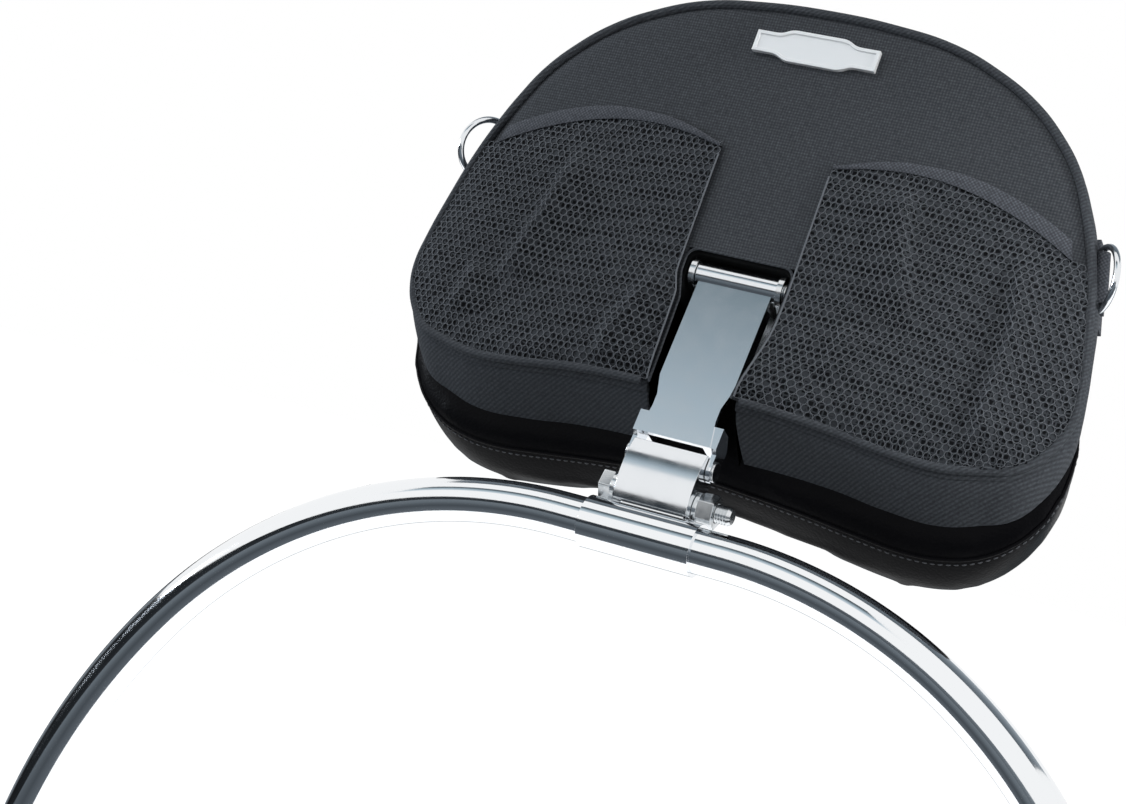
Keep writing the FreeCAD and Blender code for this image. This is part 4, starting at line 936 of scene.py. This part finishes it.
# Folds of the loose netting by side: a run of pad (x, z) points and how high it stands. The
# height's sign says which flank is the steep one.
FOLDS = {
    -1: [([(-89, 104.7), (-96.5, 67.3), (-102.7, 46), (-107.7, 30.8)], 4.4),
         ([(-119.9, 40.2), (-126.2, 13)], 2.6),
         ([(-33.7, 57.5), (-49, 20.5), (-46.8, 4.6)], 2.6)],
    1: [([(61, 112), (64.1, 88.2), (78.1, 51.2)], -3.8),
        ([(54.2, 47.4), (51.3, 20.9)], 1.8),
        ([(113.3, 97.2), (120.2, 61.1), (118, 23.2), (118.4, 4.8)], 4.8)],
}
SLOW_FLANK, STEEP_FLANK, FLANK_POWER = 13.0, 2.4, 1.4
LEAST_SLACK, SLACK_SWELL, SWELL_LENGTH = 1.2, 1.1, 30


def on_panel(x, z):
    """Depth of the rear panel's outer skin."""
    found = panel_skin.ray_cast(Vector((x, -60, z)), Vector((0, 1, 0)))[0]
    return found.y if found else crown(x)


def beside(start, end, point):
    """A stretch as a vector, the point's offset from its start, and its nearest share."""
    along = Vector(end) - Vector(start)
    off = point - Vector(start)
    return along, off, min(1.0, max(0.0, off.dot(along) / along.length_squared))


def fold_lift(folds, point):
    """Height of the folds at a pad point: steep on one side, falling slowly on the other."""
    lift = 0.0
    for run, height in folds:
        nearest = None
        for number, (start, end) in enumerate(zip(run, run[1:])):
            along, off, reach = beside(start, end, point)
            gap = (off - along * reach).length
            across = math.copysign(gap, height * (along.x * off.y - along.y * off.x))
            if nearest is None or gap < abs(nearest[0]):
                nearest = (across, (number + reach) / (len(run) - 1))
        across, travelled = nearest
        taper = eased(travelled, -0.02, 0.2) * eased(1 - travelled, -0.02, 0.3)
        width = SLOW_FLANK if across > 0 else STEEP_FLANK
        lift += abs(height) * taper * math.exp(-(abs(across) / width) ** FLANK_POWER)
    return lift


def slack(side, x, z):
    """How far the loose pocket stands off the panel: soft swells and a few long creases."""
    share = eased(x, 26, 50) * eased(-z, -hem_low[0][1] - 4, -40)
    swell = 0.5 + noise.noise(Vector((side * x / SWELL_LENGTH, 7.7, z / SWELL_LENGTH)))
    lift = LEAST_SLACK + SLACK_SWELL * share * swell
    return lift + fold_lift(FOLDS[side], Vector((side * x, z)))


def onto(line, x, z):
    """The point of a closed line that lies nearest to (x, z)."""
    best = None
    for start, end in zip(line, line[1:] + line[:1]):
        along, _, reach = beside(start, end, Vector((x, z)))
        spot_on = Vector(start) + along * reach
        gap = (Vector((x, z)) - spot_on).length
        if best is None or gap < best[0]:
            best = (gap, spot_on)
    return best[1]


# The net's cells: their pitch, thread, rows' rise as a share of the pitch, and the field
# that they fill before they are cut to the pocket
NET_PITCH, NET_THREAD, ROW_RISE = 3.2, 0.38, 0.866
NET_FOOT, NET_TALL, NET_WIDE = -4, 125, 130
SLIVER_WELD, SLIVER_AREA, SLIVER_ANGLE = 0.35, 1.2, math.radians(48)
# How far each layer stands off the panel, and its thickness
NET_OFF, NET_THICK, INNER_HEM_OFF = 0.6, 0.4, 0.9
BASE_OFF, BASE_THICK = 0.1, 0.35
TAPE_OFF, TAPE_THICK, TAPE_DOME = 1.1, 1.0, 0.5
BASE_STEPS, BASE_WIDE, BASE_FAR_X = 60, 128, 149


def netting_cells(side):
    """Flat hexagons over a pocket, the outermost drawn onto its border."""
    net = bmesh.new()
    for row in range(int(NET_TALL / (NET_PITCH * ROW_RISE))):
        for column in range(int(NET_WIDE / NET_PITCH)):
            x = INNER_X + (column + 0.5 * (row % 2)) * NET_PITCH
            z = NET_FOOT + row * NET_PITCH * ROW_RISE
            if inside(cell_limit, x, z) and z < height_at(hem_low, x) + 1.0:
                spot_at = Matrix.Translation((side * x, 0, z)) @ Matrix.Rotation(
                    math.radians(90), 4, "X") @ Matrix.Rotation(math.radians(30), 4, "Z")
                bmesh.ops.create_circle(net, cap_ends=True, segments=6,
                                        radius=NET_PITCH / math.sqrt(3), matrix=spot_at)
    bmesh.ops.remove_doubles(net, verts=net.verts, dist=0.05)
    for vertex in net.verts:
        if not inside(net_limit, side * vertex.co.x, vertex.co.z):
            spot_on = onto(net_limit, side * vertex.co.x, vertex.co.z)
            vertex.co = (side * spot_on.x, 0, spot_on.y)
    # Cells squeezed against the border to a sliver can't hold a thread's width
    bmesh.ops.remove_doubles(net, verts=net.verts, dist=SLIVER_WELD)
    squeezed = [face for face in net.faces if face.calc_area() < SLIVER_AREA
                or min(loop.calc_angle() for loop in face.loops) < SLIVER_ANGLE]
    bmesh.ops.delete(net, geom=squeezed, context="FACES")
    return net


def off_panel(side, x, z, off):
    """Depth of a pocket's layer at a point of its side, x counted from the middle."""
    return on_panel(side * x, z) - off - slack(side, x, z)


def as_cloth(shape, thickness):
    """Turns a sheet's faces to the rear and gives it its thickness."""
    bmesh.ops.recalc_face_normals(shape, faces=shape.faces)
    if sum(face.normal.y for face in shape.faces) > 0:
        bmesh.ops.reverse_faces(shape, faces=shape.faces)
    bmesh.ops.solidify(shape, geom=shape.faces[:], thickness=thickness)


def pocket_net(side):
    """The outer layer: a thread along every cell's edge, and a cord down the inner hem."""
    net = netting_cells(side)
    cells = net.faces[:]
    bmesh.ops.inset_individual(net, faces=cells, thickness=NET_THREAD / 2)
    bmesh.ops.delete(net, geom=cells, context="FACES")
    bmesh.ops.bisect_plane(net, geom=net.verts[:] + net.edges[:] + net.faces[:], dist=1e-5,
                           plane_co=(side * INNER_X, 0, 0), plane_no=(-side, 0, 0),
                           clear_outer=True)
    for vertex in net.verts:
        x, z = abs(vertex.co.x), vertex.co.z
        vertex.co.y = off_panel(side, x, z, NET_OFF)
    as_cloth(net, NET_THICK)
    inner = [(side * INNER_X, off_panel(side, INNER_X, z, INNER_HEM_OFF), z)
             for z in range(4, int(HEM_LOW[0][1]), 4)]
    cord(net, inner, NET_THREAD, False)
    lean_in(net)
    return net


def pocket_base(side):
    """The finer layer under the net, from the pouch's foot to the tape."""
    back = bmesh.new()
    bmesh.ops.create_grid(back, x_segments=BASE_STEPS, y_segments=BASE_STEPS, size=0.5)
    for vertex in back.verts:
        x = INNER_X + (vertex.co.x + 0.5) * BASE_WIDE
        low_z = min((z for px, z in base_limit if abs(px - min(x, BASE_FAR_X)) < 4), default=0)
        top_z = height_at(hem_low, x) + 0.5
        share = vertex.co.y + 0.5
        vertex.co = (x, 0, low_z + (top_z - low_z) * share)
    gone = []
    for face in back.faces:
        middle = face.calc_center_median()
        if not inside(base_limit, middle.x, middle.z):
            gone.append(face)
    bmesh.ops.delete(back, geom=gone, context="FACES")
    for vertex in back.verts:
        x, z = vertex.co.x, vertex.co.z
        vertex.co = (side * x, off_panel(side, x, z, BASE_OFF), z)
    as_cloth(back, BASE_THICK)
    lean_in(back)
    return back


def pocket_tape(side):
    """The flat tape along a pocket's mouth, a little domed across its width."""
    strip = bmesh.new()
    bmesh.ops.create_grid(strip, x_segments=len(hem_low) - 1, y_segments=6, size=0.5)
    for vertex in strip.verts:
        index = round((vertex.co.x + 0.5) * (len(hem_low) - 1))
        share = vertex.co.y + 0.5
        (x_a, z_a), (x_b, z_b) = hem_low[index], hem_high[index]
        x, z = x_a + (x_b - x_a) * share, z_a + (z_b - z_a) * share
        dome = TAPE_DOME * math.sin(math.pi * share) ** 0.5
        flat = on_panel(side * x, z) - TAPE_OFF - slack(side, x, min(z, z_a))
        vertex.co = (side * x, flat - dome, z)
    as_cloth(strip, TAPE_THICK)
    lean_in(strip)
    return strip


for side, word in ((-1, "left"), (1, "right")):
    place(pocket_net(side), "pocket_net_" + word, "pad", netting,
          where=PAD, crease=50)
    pocket = place(pocket_base(side), "pocket_lining_" + word, "pad", under,
                   ["pocket_mesh_" + word], where=PAD, crease=50)
    place(pocket_tape(side), "pocket_tape_" + word, "pad", tape,
          ["pocket_hem_" + word], where=PAD, crease=50)

# Strap rings: steel wire bent to a D and chromed, each held by a loop of black webbing
# that is sewn to the gusset.
for word in ("left", "right"):
    place(rounded("ring_tab_" + word, edge_mm=0.3), "ring_webbing_" + word, "pad", tape,
          ["ring_tab_" + word])
    place(rounded("strap_ring_" + word, edge_mm=0.05, sharp=60), "strap_wire_" + word,
          "ring_" + word, satin_chrome, ["strap_ring_" + word])

# Name plate: die-cast and plated, with a raised rim round a plain field. It is left blank.
# Its satin plating scatters the light, so it looks pale all over.
plate = surface("satin_cast_plate", {
    "Base Color": linear("eceeef"), "Metallic": 0.4, "Roughness": 0.28})[0]
evenly_shaded(place(rounded("name_plate_blank", edge_mm=0.35), "name_plate_finished", "pad",
                    plate, ["name_plate_blank"]))

# Inside the cushion, never seen: a board of pale, dull birch plywood and the steel tee
# nuts driven into it. The board is drawn 6 % smaller than the CAD node, so that it stays
# inside the cushion, whose edges the stuffing has rounded.
BOARD_SHARE = 0.94
ply = surface("birch_plywood", {"Base Color": linear("b9976a"), "Roughness": 0.6})[0]
board = rounded("backing_board", edge_mm=0.8)
TRIM = Matrix.Translation((0, 0, MIDDLE)) @ Matrix.Diagonal((BOARD_SHARE, 1, BOARD_SHARE, 1))
board.transform(PAD_MM @ TRIM @ Matrix.Translation((0, 0, -MIDDLE)) @ PAD_MM.inverted())
place(board, "plywood_board", "pad", ply, ["backing_board"])
place(rounded("board_tee_nuts", edge_mm=0.2), "tee_nuts", "pad", zinc,
      ["board_tee_nuts"])
